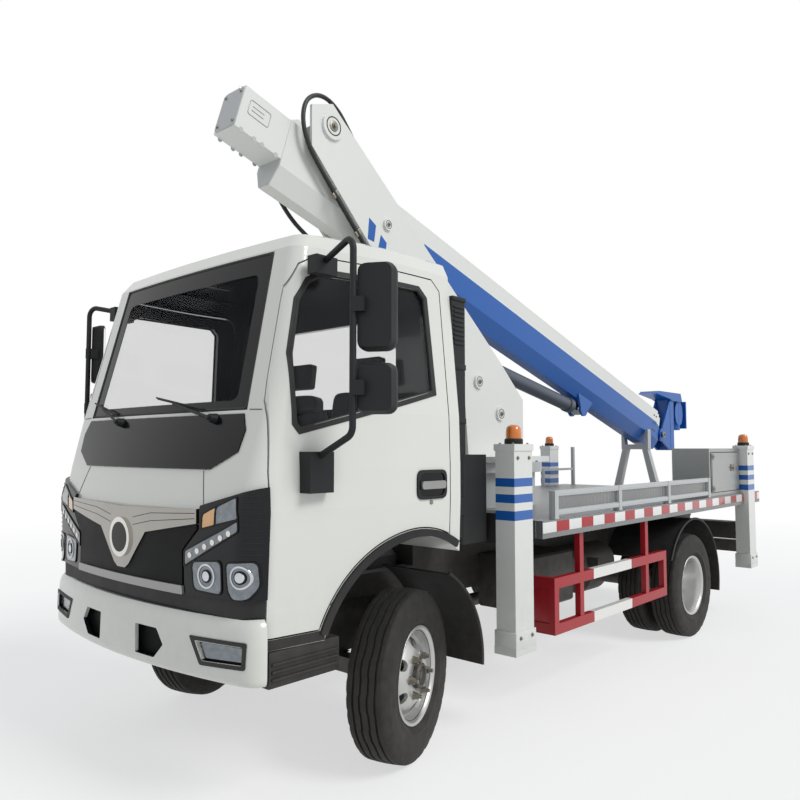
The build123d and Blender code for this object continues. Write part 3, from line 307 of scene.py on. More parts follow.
# %% [markdown]
# Next the moulded and rubber parts. Polypropylene trim has a leather-like grain of about 1.5 mm,
# drawn here at 4 mm so that it shows. Gloss black trim is ABS with a hard clear skin. Tyre rubber
# is matt with a brown-grey bloom, hose rubber a little smoother, seat cloth is woven.

# %% Plastics, rubber and cloth
matt_skin = {"Specular_IOR_Level": 0.35}
dark_skin = {"Specular_IOR_Level": 0.22}
lens_coat = {"Coat_Weight": 0.7}
finish("grained_polypropylene", "black_plastic", "17181A", 0.58, (160, 0.12), (4, 0.25), 0.25, **matt_skin)
finish("gloss_abs", "gloss_black", "0B0C10", 0.14, (300, 0.15), (9, 0.01), **dark_skin)
finish("ceramic_glass_border", "gloss_black", "0B0D11", 0.16, (300, 0.1), **dark_skin)
finish("smoked_lamp_cover", "gloss_black", "0E1014", 0.16, (200, 0.15), (9, 0.01), Specular_IOR_Level=0.3)
finish("tyre_rubber", "tyre", "151516", 0.7, (90, 0.18), (2.5, 0.18), 0.16, **matt_skin)
finish("hose_rubber", "black_plastic", "151617", 0.48, (60, 0.12), (3, 0.12))
finish("seat_cloth", "seat_fabric", "2E3034", 0.9, (50, 0.15), (3, 0.5), Sheen_Weight=0.3)
finish("sealing_rubber", "black_plastic", "121213", 0.6, (60, 0.1), (3, 0.1))
finish("amber_polycarbonate", "amber_lamp", "D9730F", 0.16, (40, 0.15), (6, 0.25), **lens_coat)
finish("red_polycarbonate", "red_lamp", "A5121A", 0.18, (40, 0.12), (6, 0.3), **lens_coat)
print("plastics done, finishes now", len(finishes))

# %% [markdown]
# Metals keep the default index and differ in colour and in how they were finished: chrome plate
# is almost a mirror, wheel silver is a paint with metal flakes, stainless sheet is brushed along
# its length, and the deck is rolled aluminium plate with raised lozenges.

# %% Metals
finish("chrome_plate", "chrome", "D6D4D0", 0.07, (120, 0.06), Metallic=1.0)
# The grille bar's chrome has a dark, warm colour: painted reflection of the ground. Its dullness is its
# roughness.
finish("satin_chrome_painted_reflection", "chrome", "A09D98", 0.16, (240, 0.16), (30, 0.05), Metallic=1.0)
finish("satin_trim", "light_grey", "9A9A98", 0.35, (120, 0.06), (5, 0.03), Metallic=0.7)
finish("wheel_silver", "rim_silver", "C6C7C5", 0.34, (110, 0.08), (2.5, 0.04), 0.22, Metallic=0.7)
finish("ground_rod_chrome", "rod_chrome", "C9CBCC", 0.12, (90, 0.05), Metallic=1.0)
finish("zinc_fastener", "rim_silver", "8E8A80", 0.42, (25, 0.2), (2, 0.08), Metallic=0.9)
finish("lamp_reflector", "lamp", "747A80", 0.1, (24, 0.45), (12, 3.0), Metallic=0.9, Coat_Weight=0.6)
finish("lamp_bowl", "lamp", "C8CCD0", 0.06, (40, 0.2), (18, 1.0), Metallic=1.0)
filter_look = {"Metallic": 0.6, "Coat_Weight": 1.0}
finish("lamp_amber_filter", "amber_lamp", "C79A6A", 0.14, (30, 0.2), (10, 1.5), **filter_look)
finish("mirror_silver", "chrome", "BFC6CA", 0.03, (300, 0.03), Metallic=1.0)

# Brush marks run along the sheet, so the noise is drawn out that way.
brushed = finish("brushed_stainless", "cabinet_steel", "A9ABAA", 0.3, (260, 0.05), Metallic=0.9)
tree, shader, spot, tint = brushed
stretch = add_node(tree, "Mapping", {"Scale": (400, 6, 400)}, {"Vector": spot})
lines = add_node(tree, "TexNoise", {"Scale": 1.0, "Detail": 4.0}, {"Vector": stretch})
brush = add_node(tree, "MapRange", {3: 0.22, 4: 0.46}, {0: lines})
tree.links.new(brush.outputs[0], shader.inputs["Roughness"])
scratch = add_node(tree, "Bump", {"Distance": 0.0003, "Strength": 0.4}, {"Height": lines})
tree.links.new(scratch.outputs[0], shader.inputs["Normal"])
print("metals done, finishes now", len(finishes))

# %% [markdown]
# Checker plate: lozenges stand at 32 mm on a grid turned by 45 degrees, alternately along and
# across. Each cell of the grid holds one: the squares of the distances from its middle, one of
# them weighed more, give an oval, and odd cells take the oval that lies the other way.

# %% Rolled deck plate
plate = finish("rolled_deck_plate", "deck_alloy", "8B8D8D", 0.38, (320, 0.1), (4, 0.05), Metallic=0.8)
tree, shader, spot, tint = plate
lozenge_pitch = 0.032
slimness = 7.0
grid = {"Rotation": (0, 0, math.radians(45)), "Scale": (1 / lozenge_pitch,) * 3}
cell = add_node(tree, "SeparateXYZ", None, {0: add_node(tree, "Mapping", grid, {"Vector": spot})})
local = []
index = []
for axis in (0, 1):
    whole = add_node(tree, "Math", {"operation": "FLOOR"}, {0: cell.outputs[axis]})
    part = add_node(tree, "Math", {"operation": "SUBTRACT"}, {0: cell.outputs[axis], 1: whole})
    mid = add_node(tree, "Math", {"operation": "SUBTRACT", 1: 0.5}, {0: part})
    local.append(add_node(tree, "Math", {"operation": "POWER", 1: 2.0}, {0: mid}))
    index.append(whole)
both = add_node(tree, "Math", {"operation": "ADD"}, {0: index[0], 1: index[1]})
odd = add_node(tree, "Math", {"operation": "PINGPONG", 1: 1.0}, {0: both})
ovals = []
for long_axis, short_axis in ((0, 1), (1, 0)):
    squares = {0: local[short_axis], 2: local[long_axis]}
    ovals.append(add_node(tree, "Math", {"operation": "MULTIPLY_ADD", 1: slimness}, squares))
oval = add_node(tree, "Mix", None, {0: odd, 2: ovals[0], 3: ovals[1]})
raised = add_node(tree, "MapRange", {1: 0.2, 2: 0.12, 3: 0.0, 4: 1.0}, {0: oval})
tread = add_node(tree, "Bump", {"Distance": 0.0025, "Strength": 0.8}, {"Height": raised})
tree.links.new(tread.outputs[0], shader.inputs["Normal"])
worn = add_node(tree, "MapRange", {3: 0.48, 4: 0.26}, {0: raised})
tree.links.new(worn.outputs[0], shader.inputs["Roughness"])
print("deck plate done, pitch", lozenge_pitch)

# %% [markdown]
# The grille is a moulded mesh of small hexagons, about 22 mm across. A cell pattern raises its
# ribs, and the cells between them are painted darker: painted shade in the openings of the mesh.
# Glass is lightly tinted in the windscreen and darker in the doors. The marking strip is
# reflective film, red and white in turn every 148 mm.

# %% Grille mesh, glass and film
mesh_look = {"Specular_IOR_Level": 0.15}
# The near-black base colour is painted shade in the mesh's openings; the ribs are overpainted 191B1F.
mesh_kit = finish("moulded_grille_mesh", "black_plastic", "08090B", 0.45, (200, 0.15), **mesh_look)
tree, shader, spot, tint = mesh_kit
flat = add_node(tree, "Mapping", {"Scale": (1000 / 26, 0.0, 1000 / 18)}, {"Vector": spot})
comb_look = {"feature": "DISTANCE_TO_EDGE", "Randomness": 0.0}
comb = add_node(tree, "TexVoronoi", comb_look, {"Vector": flat})
rib = add_node(tree, "MapRange", {1: 0.06, 2: 0.16, 3: 1.0, 4: 0.0}, {0: comb.outputs["Distance"]})
overpaint(mesh_kit, rib, "191B1F")
ribs = add_node(tree, "Bump", {"Distance": 0.006}, {"Height": rib})
tree.links.new(ribs.outputs[0], shader.inputs["Normal"])

glass_look = {"Specular_IOR_Level": 0.9, "IOR": 1.45}
for glass_name, tint_code, cover in (("windscreen_glass", "1C2630", 0.045), ("door_glass", "10161A", 0.15)):
    finish(glass_name, "glass", tint_code, 0.03, (800, 0.1), Alpha=cover, **glass_look)

film_pitch, film_start = 0.148, 0.947 + axle_y
film_kit = finish("reflective_film", "guard_red", "E3E3E0", 0.3, (60, 0.04), Coat_Weight=0.4)
tree, shader, spot, tint = film_kit
film_along = add_node(tree, "SeparateXYZ", None, {0: spot}).outputs[1]
film_scale = {"operation": "MULTIPLY_ADD", 1: 1 / film_pitch, 2: -film_start / film_pitch}
film_step = add_node(tree, "Math", film_scale, {0: film_along})
film_cell = add_node(tree, "Math", {"operation": "FLOOR"}, {0: film_step})
overpaint(film_kit, add_node(tree, "Math", {"operation": "PINGPONG", 1: 1.0}, {0: film_cell}), "A81420")
print("finishes in all:", len(finishes))

# %% [markdown]
# The solids that are right as they stand only change their finish. Each gets it in its own
# material slots, and the mesh is left alone.

# %% Dress the solids
dressing = {
    "white_cab_enamel": "cab_shell left_door right_door bumper",
    "windscreen_glass": "cab_glass",
    "door_glass": "left_door_glass right_door_glass",
    "grained_polypropylene": "left_mirrors right_mirrors arch_panels dashboard steering_wheel air_intake",
    "gloss_abs": "front_panel",
    "moulded_grille_mesh": "grille",
    "satin_chrome_painted_reflection": "grille_bar",
    "smoked_lamp_cover": "headlamps",
    "seat_cloth": "seats",
    "chassis_black": "ladder_frame leaf_springs propeller_shaft fuel_tank battery_box subframe "
    "outrigger_beams underrun_bar tail_lamps",
    "cast_iron": "axles engine front_left_knuckle front_right_knuckle",
    "leg_enamel": "outrigger_legs front_left_foot front_right_foot rear_left_foot rear_right_foot",
    "guard_enamel": "side_guards",
    "rolled_deck_plate": "deck",
    "grey_enamel": "deck_rails boom_rest turntable",
    "brushed_stainless": "tool_cabinet cabinet_door",
    "turret_enamel": "turret",
    "boom_enamel": "boom_outer boom_middle boom_inner",
    "blue_enamel": "platform_head",
    "cylinder_enamel": "lift_barrel",
    "ground_rod_chrome": "lift_rod",
    "hose_rubber": "turret_hoses",
    "amber_polycarbonate": "beacons",
    "tyre_rubber": "front_left_tyre front_right_tyre rear_left_tyres rear_right_tyres",
    "wheel_silver": "front_left_rim front_right_rim rear_left_rims rear_right_rims",
}
dressed = 0
for name, wearers in dressing.items():
    for node in wearers.split():
        if not nodes[node].material_slots:
            nodes[node].data.materials.append(None)
        for entry in nodes[node].material_slots:
            entry.material = finishes[name][0]
        dressed += 1
print("dressed", dressed, "of", len(nodes), "solids")

# %% [markdown]
# Small pieces are built as meshes in millimetres from the front axle. The first helper turns a
# mesh into a piece with a finish that rides on a body. The others add plain shapes to a mesh:
# blocks with soft edges, round bars, bolts and turned rings.

# %% Pieces and plain shapes


def keep(name, bm, finish_name, body="truck", sharp=35):
    """The mesh as a piece with its finish, riding on a body."""
    bmesh.ops.recalc_face_normals(bm, faces=bm.faces[:])
    mesh = bpy.data.meshes.new(name)
    bm.to_mesh(mesh)
    bm.free()
    mesh.shade_smooth()
    mesh.set_sharp_from_angle(angle=math.radians(sharp))
    mesh.materials.append(finishes[finish_name][0])
    piece = bpy.data.objects.new(name, mesh)
    scene.collection.objects.link(piece)
    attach(piece, body)
    return piece


def block(bm, low, high, edge=4.0):
    """A box between two corners with softened edges."""
    low, high = place(*low), place(*high)
    made = bmesh.ops.create_cube(bm, size=1.0)["verts"]
    for vert in made:
        vert.co = Vector((low[i] + (high[i] - low[i]) * (vert.co[i] + 0.5) for i in range(3)))
    rims = list({e for v in made for e in v.link_edges})
    bmesh.ops.bevel(bm, geom=rims, offset=edge / 1000, segments=2, profile=0.5, affect="EDGES")


def bar(bm, start, end, radius, sides=16, end_radius=None):
    """A round or many-sided bar between two points of the frame."""
    run = end - start
    turn = run.to_track_quat("Z", "Y").to_matrix().to_4x4()
    bmesh.ops.create_cone(
        bm,
        cap_ends=True,
        segments=sides,
        radius1=radius / 1000,
        radius2=(radius if end_radius is None else end_radius) / 1000,
        depth=run.length,
        matrix=Matrix.Translation((start + end) / 2) @ turn,
    )


def bolt(bm, foot, out, size):
    """A hexagon bolt head on its washer, standing on a face."""
    bar(bm, foot - out * 0.001, foot + out * size * 0.00025, size * 0.95, 20)
    bar(bm, foot, foot + out * size * 0.0008, size * 0.62, 6, size * 0.58)


def lathe(bm, rows, matrix, turns=96):
    """A closed outline of (across, radius) pairs turned about the matrix's x axis."""
    rings = []
    for step in range(turns):
        angle = 2 * math.pi * step / turns
        outline = rows(step) if callable(rows) else rows
        ring = []
        for across, radius in outline:
            spoke = Vector((across, radius * math.cos(angle), radius * math.sin(angle))) / 1000
            ring.append(bm.verts.new(matrix @ spoke))
        rings.append(ring)
    count = len(rings[0])
    for step in range(turns):
        here, there = rings[step], rings[(step + 1) % turns]
        for i in range(count):
            bm.faces.new((here[i], here[(i + 1) % count], there[(i + 1) % count], there[i]))


print("shapes ready")

# %% [markdown]
# Many plates start as a flat outline, a ring of corners in millimetres. Pressed and moulded parts
# have no sharp corners, so one helper rounds them. The others grow a ring, draw a round one, or
# mirror it to the other side of the truck.

# %% Outlines
both_sides = (("left", 1), ("right", -1))


def rounded(ring, radius, steps=5):
    """An outline with its corners eased."""
    if radius <= 0:
        return list(ring)
    eased = []
    for i, corner in enumerate(ring):
        here = Vector(corner)
        back = Vector(ring[i - 1]) - here
        on = Vector(ring[(i + 1) % len(ring)]) - here
        cut = min(radius, back.length * 0.45, on.length * 0.45)
        first = here + back.normalized() * cut
        last = here + on.normalized() * cut
        for s in range(steps + 1):
            t = s / steps
            eased.append(tuple(first * (1 - t) ** 2 + here * 2 * t * (1 - t) + last * t * t))
    return eased


def grown(ring, amount):
    """An outline moved outwards by an amount."""
    area = sum(ring[i - 1][0] * p[1] - p[0] * ring[i - 1][1] for i, p in enumerate(ring))
    side = amount if area > 0 else -amount
    moved = []
    for i, corner in enumerate(ring):
        here = Vector(corner)
        a = (here - Vector(ring[i - 1])).normalized()
        b = (Vector(ring[(i + 1) % len(ring)]) - here).normalized()
        outer = Vector((a.y + b.y, -a.x - b.x))
        moved.append(tuple(here + outer * (side / max(0.3, 1 + a.dot(b)))))
    return moved


def disc(u, v, radius, sides=40):
    """A round outline."""
    turns = [2 * math.pi * i / sides for i in range(sides)]
    return [(u + radius * math.cos(t), v + radius * math.sin(t)) for t in turns]


def mirrored(ring, sign):
    """An outline on the left or, with minus one, its mirror image on the right."""
    return [(sign * u, v) for u, v in ring]


print("outlines ready")

# %% [markdown]
# Trim lies on the skin that carries it, and the skins are bowed. A line of sight is shot at the
# solids from the front, the rear or a side, and where it meets them a point of the plate goes. A
# modifier could wrap a flat plate too, but this keeps every edge where its outline says.

# %% Plates on a skin
looks = {
    "front": (lambda u, v: place(u, -4000, v), Vector((0, 1, 0))),
    "rear": (lambda u, v: place(u, 9000, v), Vector((0, -1, 0))),
    "left": (lambda u, v: place(3000, u, v), Vector((-1, 0, 0))),
    "right": (lambda u, v: place(-3000, u, v), Vector((1, 0, 0))),
}
skins = {}


def touch(u, v, look, carriers, lift=0.0):
    """Where a line of sight from the front, the rear or a side first meets the carrying solids."""
    if carriers not in skins:
        points = []
        faces = []
        for node in carriers.split():
            base = len(points)
            points += [vert.co.copy() for vert in nodes[node].data.vertices]
            faces += [[base + i for i in face.vertices] for face in nodes[node].data.polygons]
        skins[carriers] = BVHTree.FromPolygons(points, faces)
    start, direction = looks[look]
    origin = start(u, v)
    hit = skins[carriers].ray_cast(origin, direction)[0]
    if hit is None:
        hit = skins[carriers].find_nearest(origin + direction * 3.0)[0]
    return hit - direction * lift / 1000


def thicken(bm, faces, move):
    """Give flat faces a thickness: a copy of them is moved by so many millimetres and joined on."""
    for item in bmesh.ops.extrude_face_region(bm, geom=faces, use_keep_orig=True)["geom"]:
        if isinstance(item, bmesh.types.BMVert):
            item.co += move / 1000


def ribbon(name, first, second, look, carriers, finish_name, depth=4.0):
    """A band between two rows of points, seen from the front or a side, laid on what carries it."""
    bm = bmesh.new()
    rows = [[bm.verts.new(touch(u, v, look, carriers)) for u, v in row] for row in (first, second)]
    for i in range(len(first) - 1):
        bm.faces.new((rows[0][i], rows[0][i + 1], rows[1][i + 1], rows[1][i]))
    thicken(bm, bm.faces[:], -looks[look][1] * depth)
    return keep(name, bm, finish_name)


def skin(
    name, outline, look, carriers, finish_name, body="truck",
    lift=0.0, depth=4.0, corner=0.0, hole=None, step=45,
):
    """A plate of that outline, seen from the front or a side, laid on the solids that carry it."""
    bm = bmesh.new()
    edges = []
    for ring in (outline, hole):
        if ring is None:
            continue
        verts = [bm.verts.new((u, v, 0)) for u, v in rounded(ring, corner)]
        edges += [bm.edges.new((verts[i - 1], verts[i])) for i in range(len(verts))]
    if hole is None:
        bm.faces.new(verts)
    else:
        bmesh.ops.bridge_loops(bm, edges=edges)
    for axis in (0, 1):
        spread = [vert.co[axis] for vert in bm.verts]
        cuts = int((max(spread) - min(spread)) / step)
        for cut in range(1, cuts + 1):
            spot = Vector((0, 0, 0))
            normal = Vector((0, 0, 0))
            spot[axis] = min(spread) + cut * (max(spread) - min(spread)) / (cuts + 1)
            normal[axis] = 1
            geom = bm.verts[:] + bm.edges[:] + bm.faces[:]
            bmesh.ops.bisect_plane(bm, geom=geom, plane_co=spot, plane_no=normal)
    bmesh.ops.triangulate(bm, faces=bm.faces[:])
    for vert in bm.verts:
        vert.co = touch(vert.co.x, vert.co.y, look, carriers, lift)
    thicken(bm, bm.faces[:], -looks[look][1] * depth)
    return keep(name, bm, finish_name, body)


def flat_plate(bm, ring, origin, across, up, depth, corner=0.0):
    """A flat plate on its own plane: the ring is in millimetres along across and up."""
    out = across.cross(up)
    verts = [bm.verts.new(origin + (across * u + up * v) / 1000) for u, v in rounded(ring, corner)]
    thicken(bm, [bm.faces.new(verts)], out * depth)


print("views for laying plates:", sorted(looks))

# %% [markdown]
# Hoses, rubber beads and joint lines are round bars along a path. A curve with a bevel stays
# smooth with few points; a joint line follows the skin in short steps.

# %% Bent bars and joint lines


def tube(name, points, radius, finish_name, body="truck", kind="NURBS", closed=False):
    """A round bar bent along points of the frame."""
    curve = bpy.data.curves.new(name, "CURVE")
    curve.dimensions = "3D"
    curve.bevel_depth = radius / 1000
    curve.bevel_resolution = 4
    curve.resolution_u = 8
    curve.use_fill_caps = True
    spline = curve.splines.new(kind)
    spline.points.add(len(points) - 1)
    for knot, point in zip(spline.points, points):
        knot.co = (*point, 1.0)
    if kind == "NURBS":
        spline.order_u = 3
        spline.use_endpoint_u = not closed
    spline.use_cyclic_u = closed
    curve.materials.append(finishes[finish_name][0])
    piece = bpy.data.objects.new(name, curve)
    scene.collection.objects.link(piece)
    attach(piece, body)
    return piece


def seam(name, points, look, carriers, width, finish_name, closed=False):
    """A narrow joint line on the skin, followed in short steps."""
    path = []
    stops = list(points) + ([points[0]] if closed else [])
    for first, last in zip(stops, stops[1:]):
        run = Vector(last) - Vector(first)
        steps = max(1, int(run.length / 25))
        for s in range(steps):
            spot = Vector(first) + run * s / steps
            path.append(touch(spot.x, spot.y, look, carriers))
    if not closed:
        path.append(touch(*stops[-1], look, carriers))
    return tube(name, path, width / 2, finish_name, kind="POLY", closed=closed)


print("helpers ready")

# %% [markdown]
# Two hydraulic hoses climb the front edges of the turret: one goes over the top beside the pivot,
# the other hangs in a loop on the far side. Each is one smooth spline through the points of its
# solid's route, so it bends as a stiff hose does. Clips and a clamp hold it to the plate.

# %% Turret hoses
hose_diameter = 26
hose_routes = {
    "left": [(151, 646, 2486), (151, 30, 3098), (151, -75, 3280), (145, -60, 3440), (138, 40, 3523)]
    + [(126, 170, 3523), (121, 300, 3420), (121, 560, 3080)],
    "right": [(-151, -1, 3400), (-151, -86, 3400), (-151, -81, 3120), (-151, 24, 2925), (-151, 215, 2778)]
    + [(-151, 570, 2625)],
}
for side, route in hose_routes.items():
    points = [place(*point) for point in route]
    hose = tube("turret_hose_" + side, points, hose_diameter / 2, "hose_rubber")
    thread = hose.data.copy()
    thread.bevel_depth = 0
    probe = bpy.data.objects.new("hose_thread", thread)
    line = bpy.data.meshes.new_from_object(probe)
    ends = [[line.vertices[i].co for i in edge.vertices] for edge in line.edges]
    run = sum((b - a).length for a, b in ends)
    bpy.data.objects.remove(probe)
    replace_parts(hose, "turret_hoses")
    print("hose", side, round(run, 2), "m")
edge_run = Vector((0, 468, -475)).normalized()
edge_out = Vector((0, edge_run.z, -edge_run.y))
clip_height = 53
clips = bmesh.new()
for along_mm in (298, 560):
    foot = place(151, -12, 3197) + edge_run * along_mm / 1000
    ring = [(-17, -9), (17, -9), (17, 9), (-17, 9)]
    flat_plate(clips, ring, foot, edge_run, edge_out.cross(edge_run), clip_height, 3)
    bolt(clips, foot + edge_out * clip_height / 1000, edge_out, 8)
block(clips, (108, 507, 3101), (142, 551, 3141), 3)
keep("hose_clips", clips, "zinc_fastener")
print("hoses clipped")

# %% [markdown]
# Seats: foam cushions under woven cloth. Each pad starts as a fine grid box whose faces are
# crowned and whose sides pull in between the corners, and is then subdivided; behind tinted
# glass that gives the eye all it needs, without a cloth simulation.

# %% Seats


def pad(name, middle, half, thin, lean):
    """A crowned cushion; thin is the axis across which it is thinnest."""
    bm = bmesh.new()
    bmesh.ops.create_cube(bm, size=2.0)
    bmesh.ops.subdivide_edges(bm, edges=bm.edges[:], cuts=7, use_grid_fill=True)
    turn = Matrix.Rotation(math.radians(lean), 3, "X")
    wide = [axis for axis in range(3) if axis != thin]
    for vert in bm.verts:
        unit = vert.co.copy()
        dome = (1 - unit[wide[0]] ** 4) * (1 - unit[wide[1]] ** 4)
        channel = 0.05 * math.cos(unit[wide[0]] * 9.4)
        spot = unit.copy()
        spot[thin] *= 0.72 + (0.28 - channel) * dome
        for axis, other in (wide, wide[::-1]):
            spot[axis] *= 0.96 + 0.04 * unit[other] ** 2
            spot[axis] *= 1 - 0.05 * unit[other] ** 6
        shaped = Vector(spot[i] * half[i] / 1000 for i in range(3))
        vert.co = place(*middle) + turn @ shaped
    piece = keep(name, bm, "seat_cloth", sharp=180)
    piece.modifiers.new("soft", "SUBSURF").render_levels = 1
    return piece


back_lean = -7.1
seat_boxes = bmesh.new()
for seat, x, width in (("driver", 420, 500), ("bench", -350, 880)):
    base = pad(seat + "_cushion", (x, -118, 1244), (width / 2 - 14, 180, 54), 2, 0)
    if seat == "driver":
        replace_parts(base, "seats")
    pad(seat + "_back", (x, 131, 1562), (width / 2 - 16, 42, 246), 1, back_lean)
    for shift in (0,) if seat == "driver" else (-215, 215):
        pad(f"{seat}_headrest_{shift + 215}", (x + shift, 172, 1912), (118, 30, 76), 1, back_lean)
    block(seat_boxes, (x - width / 2 + 30, -230, 1002), (x + width / 2 - 30, 140, 1186), 14)
keep("seat_boxes", seat_boxes, "grained_polypropylene")
print("seats padded")

# %% [markdown]
# Windscreen: a bonded pane has a black fired border that hides the glue, and a rubber lip round
# it. The border is a ring laid on the glass, so that it follows the curve of the pane.

# %% Windscreen border, lip and wipers
screen = [(-694, 1661), (694, 1661), (650, 2366), (-650, 2366)]
clear = [(-612, 1700), (612, 1700), (578, 2276), (-578, 2276)]
border = {"lift": 0.4, "depth": 1.2, "corner": 45, "hole": clear}
skin("windscreen_border", screen, "front", "cab_glass", "ceramic_glass_border", **border)
seam("windscreen_lip", rounded(screen, 30), "front", "cab_glass", 13, "sealing_rubber", closed=True)

wiper_skin = "cab_glass cab_shell front_panel"
for side, pivot_x, tip_x in (("near", 502, 40), ("far", -305, -640)):
    foot = touch(pivot_x, 1622, "front", wiper_skin)
    out = Vector((0, -1, 0.15)).normalized()
    bm = bmesh.new()
    bar(bm, foot - out * 0.004, foot + out * 0.03, 24, 24, 17)
    bar(bm, foot + out * 0.03, foot + out * 0.042, 10, 6)
    keep("wiper_hub_" + side, bm, "grained_polypropylene")
    span = tip_x - pivot_x
    mid = touch(pivot_x + span * 0.45, 1672, "front", wiper_skin, 34)
    end = touch(pivot_x + span * 0.72, 1700, "front", wiper_skin, 26)
    tube("wiper_arm_" + side, [foot + out * 0.028, mid, end], 7, "grained_polypropylene")
    shares = (0.2, 0.5, 0.8, 1.08)
    blade = [touch(pivot_x + span * f, 1648 + 78 * f, "front", wiper_skin, 15) for f in shares]
    tube("wiper_blade_" + side, blade, 6, "sealing_rubber")
    spine = [point + Vector((0, -0.01, 0.004)) for point in blade]
    tube("wiper_spine_" + side, spine, 4, "grained_polypropylene")
print("windscreen trimmed")

# %% [markdown]
# The face below the glass: the white bonnet panel is cut by two slanting joints, a chrome bar
# dips in the middle and carries a plain round boss, and a grey strip closes the mesh below.

# %% Bonnet joints, boss and grille strip
for side, sign in both_sides:
    joint = mirrored([(520, 1400), (572, 1262)], sign)
    seam("bonnet_joint_" + side, joint, "front", "cab_shell", 4, "sealing_rubber")
    pillar = mirrored([(716, 1657), (846, 1652)], sign)
    seam("pillar_joint_" + side, pillar, "front", "cab_shell", 4, "sealing_rubber")
face = "grille grille_bar"
skin("badge_boss", disc(0, 1090, 90), "front", face, "chrome_plate", lift=-2, depth=13, step=30)
skin("badge_inset", disc(0, 1090, 68), "front", face, "gloss_abs", lift=8, step=30)
strip = [(-478, 886), (478, 886), (474, 922), (-474, 922)]
skin("grille_strip", strip, "front", "cab_shell", "satin_trim", depth=27, corner=6)
valance = [(-925, 770), (925, 770), (925, 897), (-925, 897)]
skin("bumper_valance", valance, "front", "cab_shell", "grained_polypropylene", step=22)
# Two black lines on each side of the chrome bar: painted shade in its creases.
for side, sign in both_sides:
    for row, (outer_z, inner_z) in enumerate(((1226, 1212), (1204, 1178))):
        crease = mirrored([(555, outer_z), (250, inner_z), (105, inner_z - 26)], sign)
        seam(f"bar_crease_shade_{row}_{side}", crease, "front", "grille_bar", 3.2, "gloss_abs")
print("face trimmed")

# %% [markdown]
# Each headlamp sits in one smoked cover. Its lights are pressed reflectors with a clear coat on
# top, so the facets glint and the surface stays glossy: an upper lamp with an amber part, a
# slanted row of small lights, two low lamps, and a comb of ribs at the outer edge.

# %% Headlamps
low_outer = [(735, 1035), (863, 1046), (866, 948), (832, 900), (770, 896), (744, 928)]
lamp_shapes = (
    ("indicator", "lamp_amber_filter", [(600, 1222), (672, 1254), (668, 1186), (594, 1168)], 8),
    ("upper", "lamp_reflector", [(678, 1256), (776, 1297), (796, 1216), (674, 1188)], 8),
    ("row", "lamp_reflector", [(486, 1064), (714, 1164), (795, 1203), (795, 1166), (486, 1010)], 6),
    ("low_inner", "lamp_reflector", [(532, 1024), (702, 1039), (706, 910), (545, 915)], 26),
    ("low_outer", "lamp_reflector", low_outer, 20),
)
for side, sign in both_sides:
    for shape, lens, ring, corner in lamp_shapes:
        ring = mirrored(ring, sign)
        name = f"lamp_{shape}_{side}"
        skin(name, ring, "front", "headlamps", lens, depth=3, corner=corner, step=30)
        edge = {"depth": 5, "corner": corner + 4, "hole": grown(ring, 1), "step": 30}
        name = f"lamp_{shape}_frame_{side}"
        skin(name, grown(ring, 7), "front", "headlamps", "gloss_abs", **edge)
    for rib in range(11):
        z = 1072 + rib * 23
        line = mirrored([(814, z), (878, z + 3)], sign)
        seam(f"lamp_rib_{rib}_{side}", line, "front", "headlamps", 6, "grained_polypropylene")
    for bowl, u, v, radius in (("inner", 622, 975, 50), ("outer", 806, 985, 46)):
        opening = mirrored(disc(u, v, radius - 7, 32), sign)
        for part, size, lens, look in (
            ("ring", radius, "lamp_bowl", {"lift": 3, "depth": 4, "hole": opening, "step": 30}),
            ("eye", 27, "gloss_abs", {"lift": 3, "depth": 3, "step": 20}),
            ("pupil", 20, "lamp_bowl", {"lift": 5, "depth": 3, "step": 20}),
        ):
            ring = mirrored(disc(u, v, size, 32), sign)
            skin(f"lamp_{part}_{bowl}_{side}", ring, "front", "headlamps", lens, **look)
    for light in range(6):
        u = 520 + light * 46
        v = 1052 + light * 20.5
        ring = mirrored(disc(u, v, 12, 20), sign)
        skin(f"lamp_row_{light}_{side}", ring, "front", "headlamps", "chrome_plate", lift=2, step=30)
print("headlamps:", 2 * len(lamp_shapes), "lenses")

# %% [markdown]
# Bumper: a bowed white shell. A section with a rounded upper edge is swept along the bow and round
# its two ends, which a plain extrusion could not follow. It stands for the plainer solid.

# %% Bumper shell
bumper_reach, bumper_bow, bumper_half = 1018, 105, 880


def bumper_face(x):
    """How far back the bowed bumper's face lies at that distance from the middle."""
    return -bumper_reach + bumper_bow * (x / bumper_half) ** 2


bumper_section = [(70, 560), (24, 560), (10, 565), (3, 575), (0, 592), (0, 690), (1, 756), (4, 784)]
bumper_section += [(12, 806), (26, 821), (46, 829), (90, 831), (90, 823), (50, 818), (34, 811)]
bumper_section += [(24, 799), (18, 780), (16, 690), (16, 594), (26, 574), (70, 572)]
half_path = [(x, bumper_face(x)) for x in range(0, 801, 40)]
start = Vector(half_path[-1])
knee = Vector((882, bumper_face(880)))
stop = Vector((888, -851))
for step in range(1, 11):
    t = step / 10
    half_path.append(tuple(start * (1 - t) ** 2 + knee * 2 * t * (1 - t) + stop * t * t))
bumper_path = [(-x, y) for x, y in half_path[:0:-1]] + half_path
bm = bmesh.new()
rings = []
for i, spot in enumerate(bumper_path):
    run = Vector(bumper_path[min(i + 1, len(bumper_path) - 1)]) - Vector(bumper_path[max(i - 1, 0)])
    out = Vector((run.y, -run.x)).normalized()
    ring = [place(spot[0] - out.x * s, spot[1] - out.y * s, z) for s, z in bumper_section]
    rings.append([bm.verts.new(point) for point in ring])
count = len(bumper_section)
for here, there in zip(rings, rings[1:]):
    for i in range(count):
        bm.faces.new((here[i], here[(i + 1) % count], there[(i + 1) % count], there[i]))
bm.faces.new(rings[0])
bm.faces.new(rings[-1][::-1])
shell = keep("bumper_shell", bm, "white_cab_enamel", sharp=40)
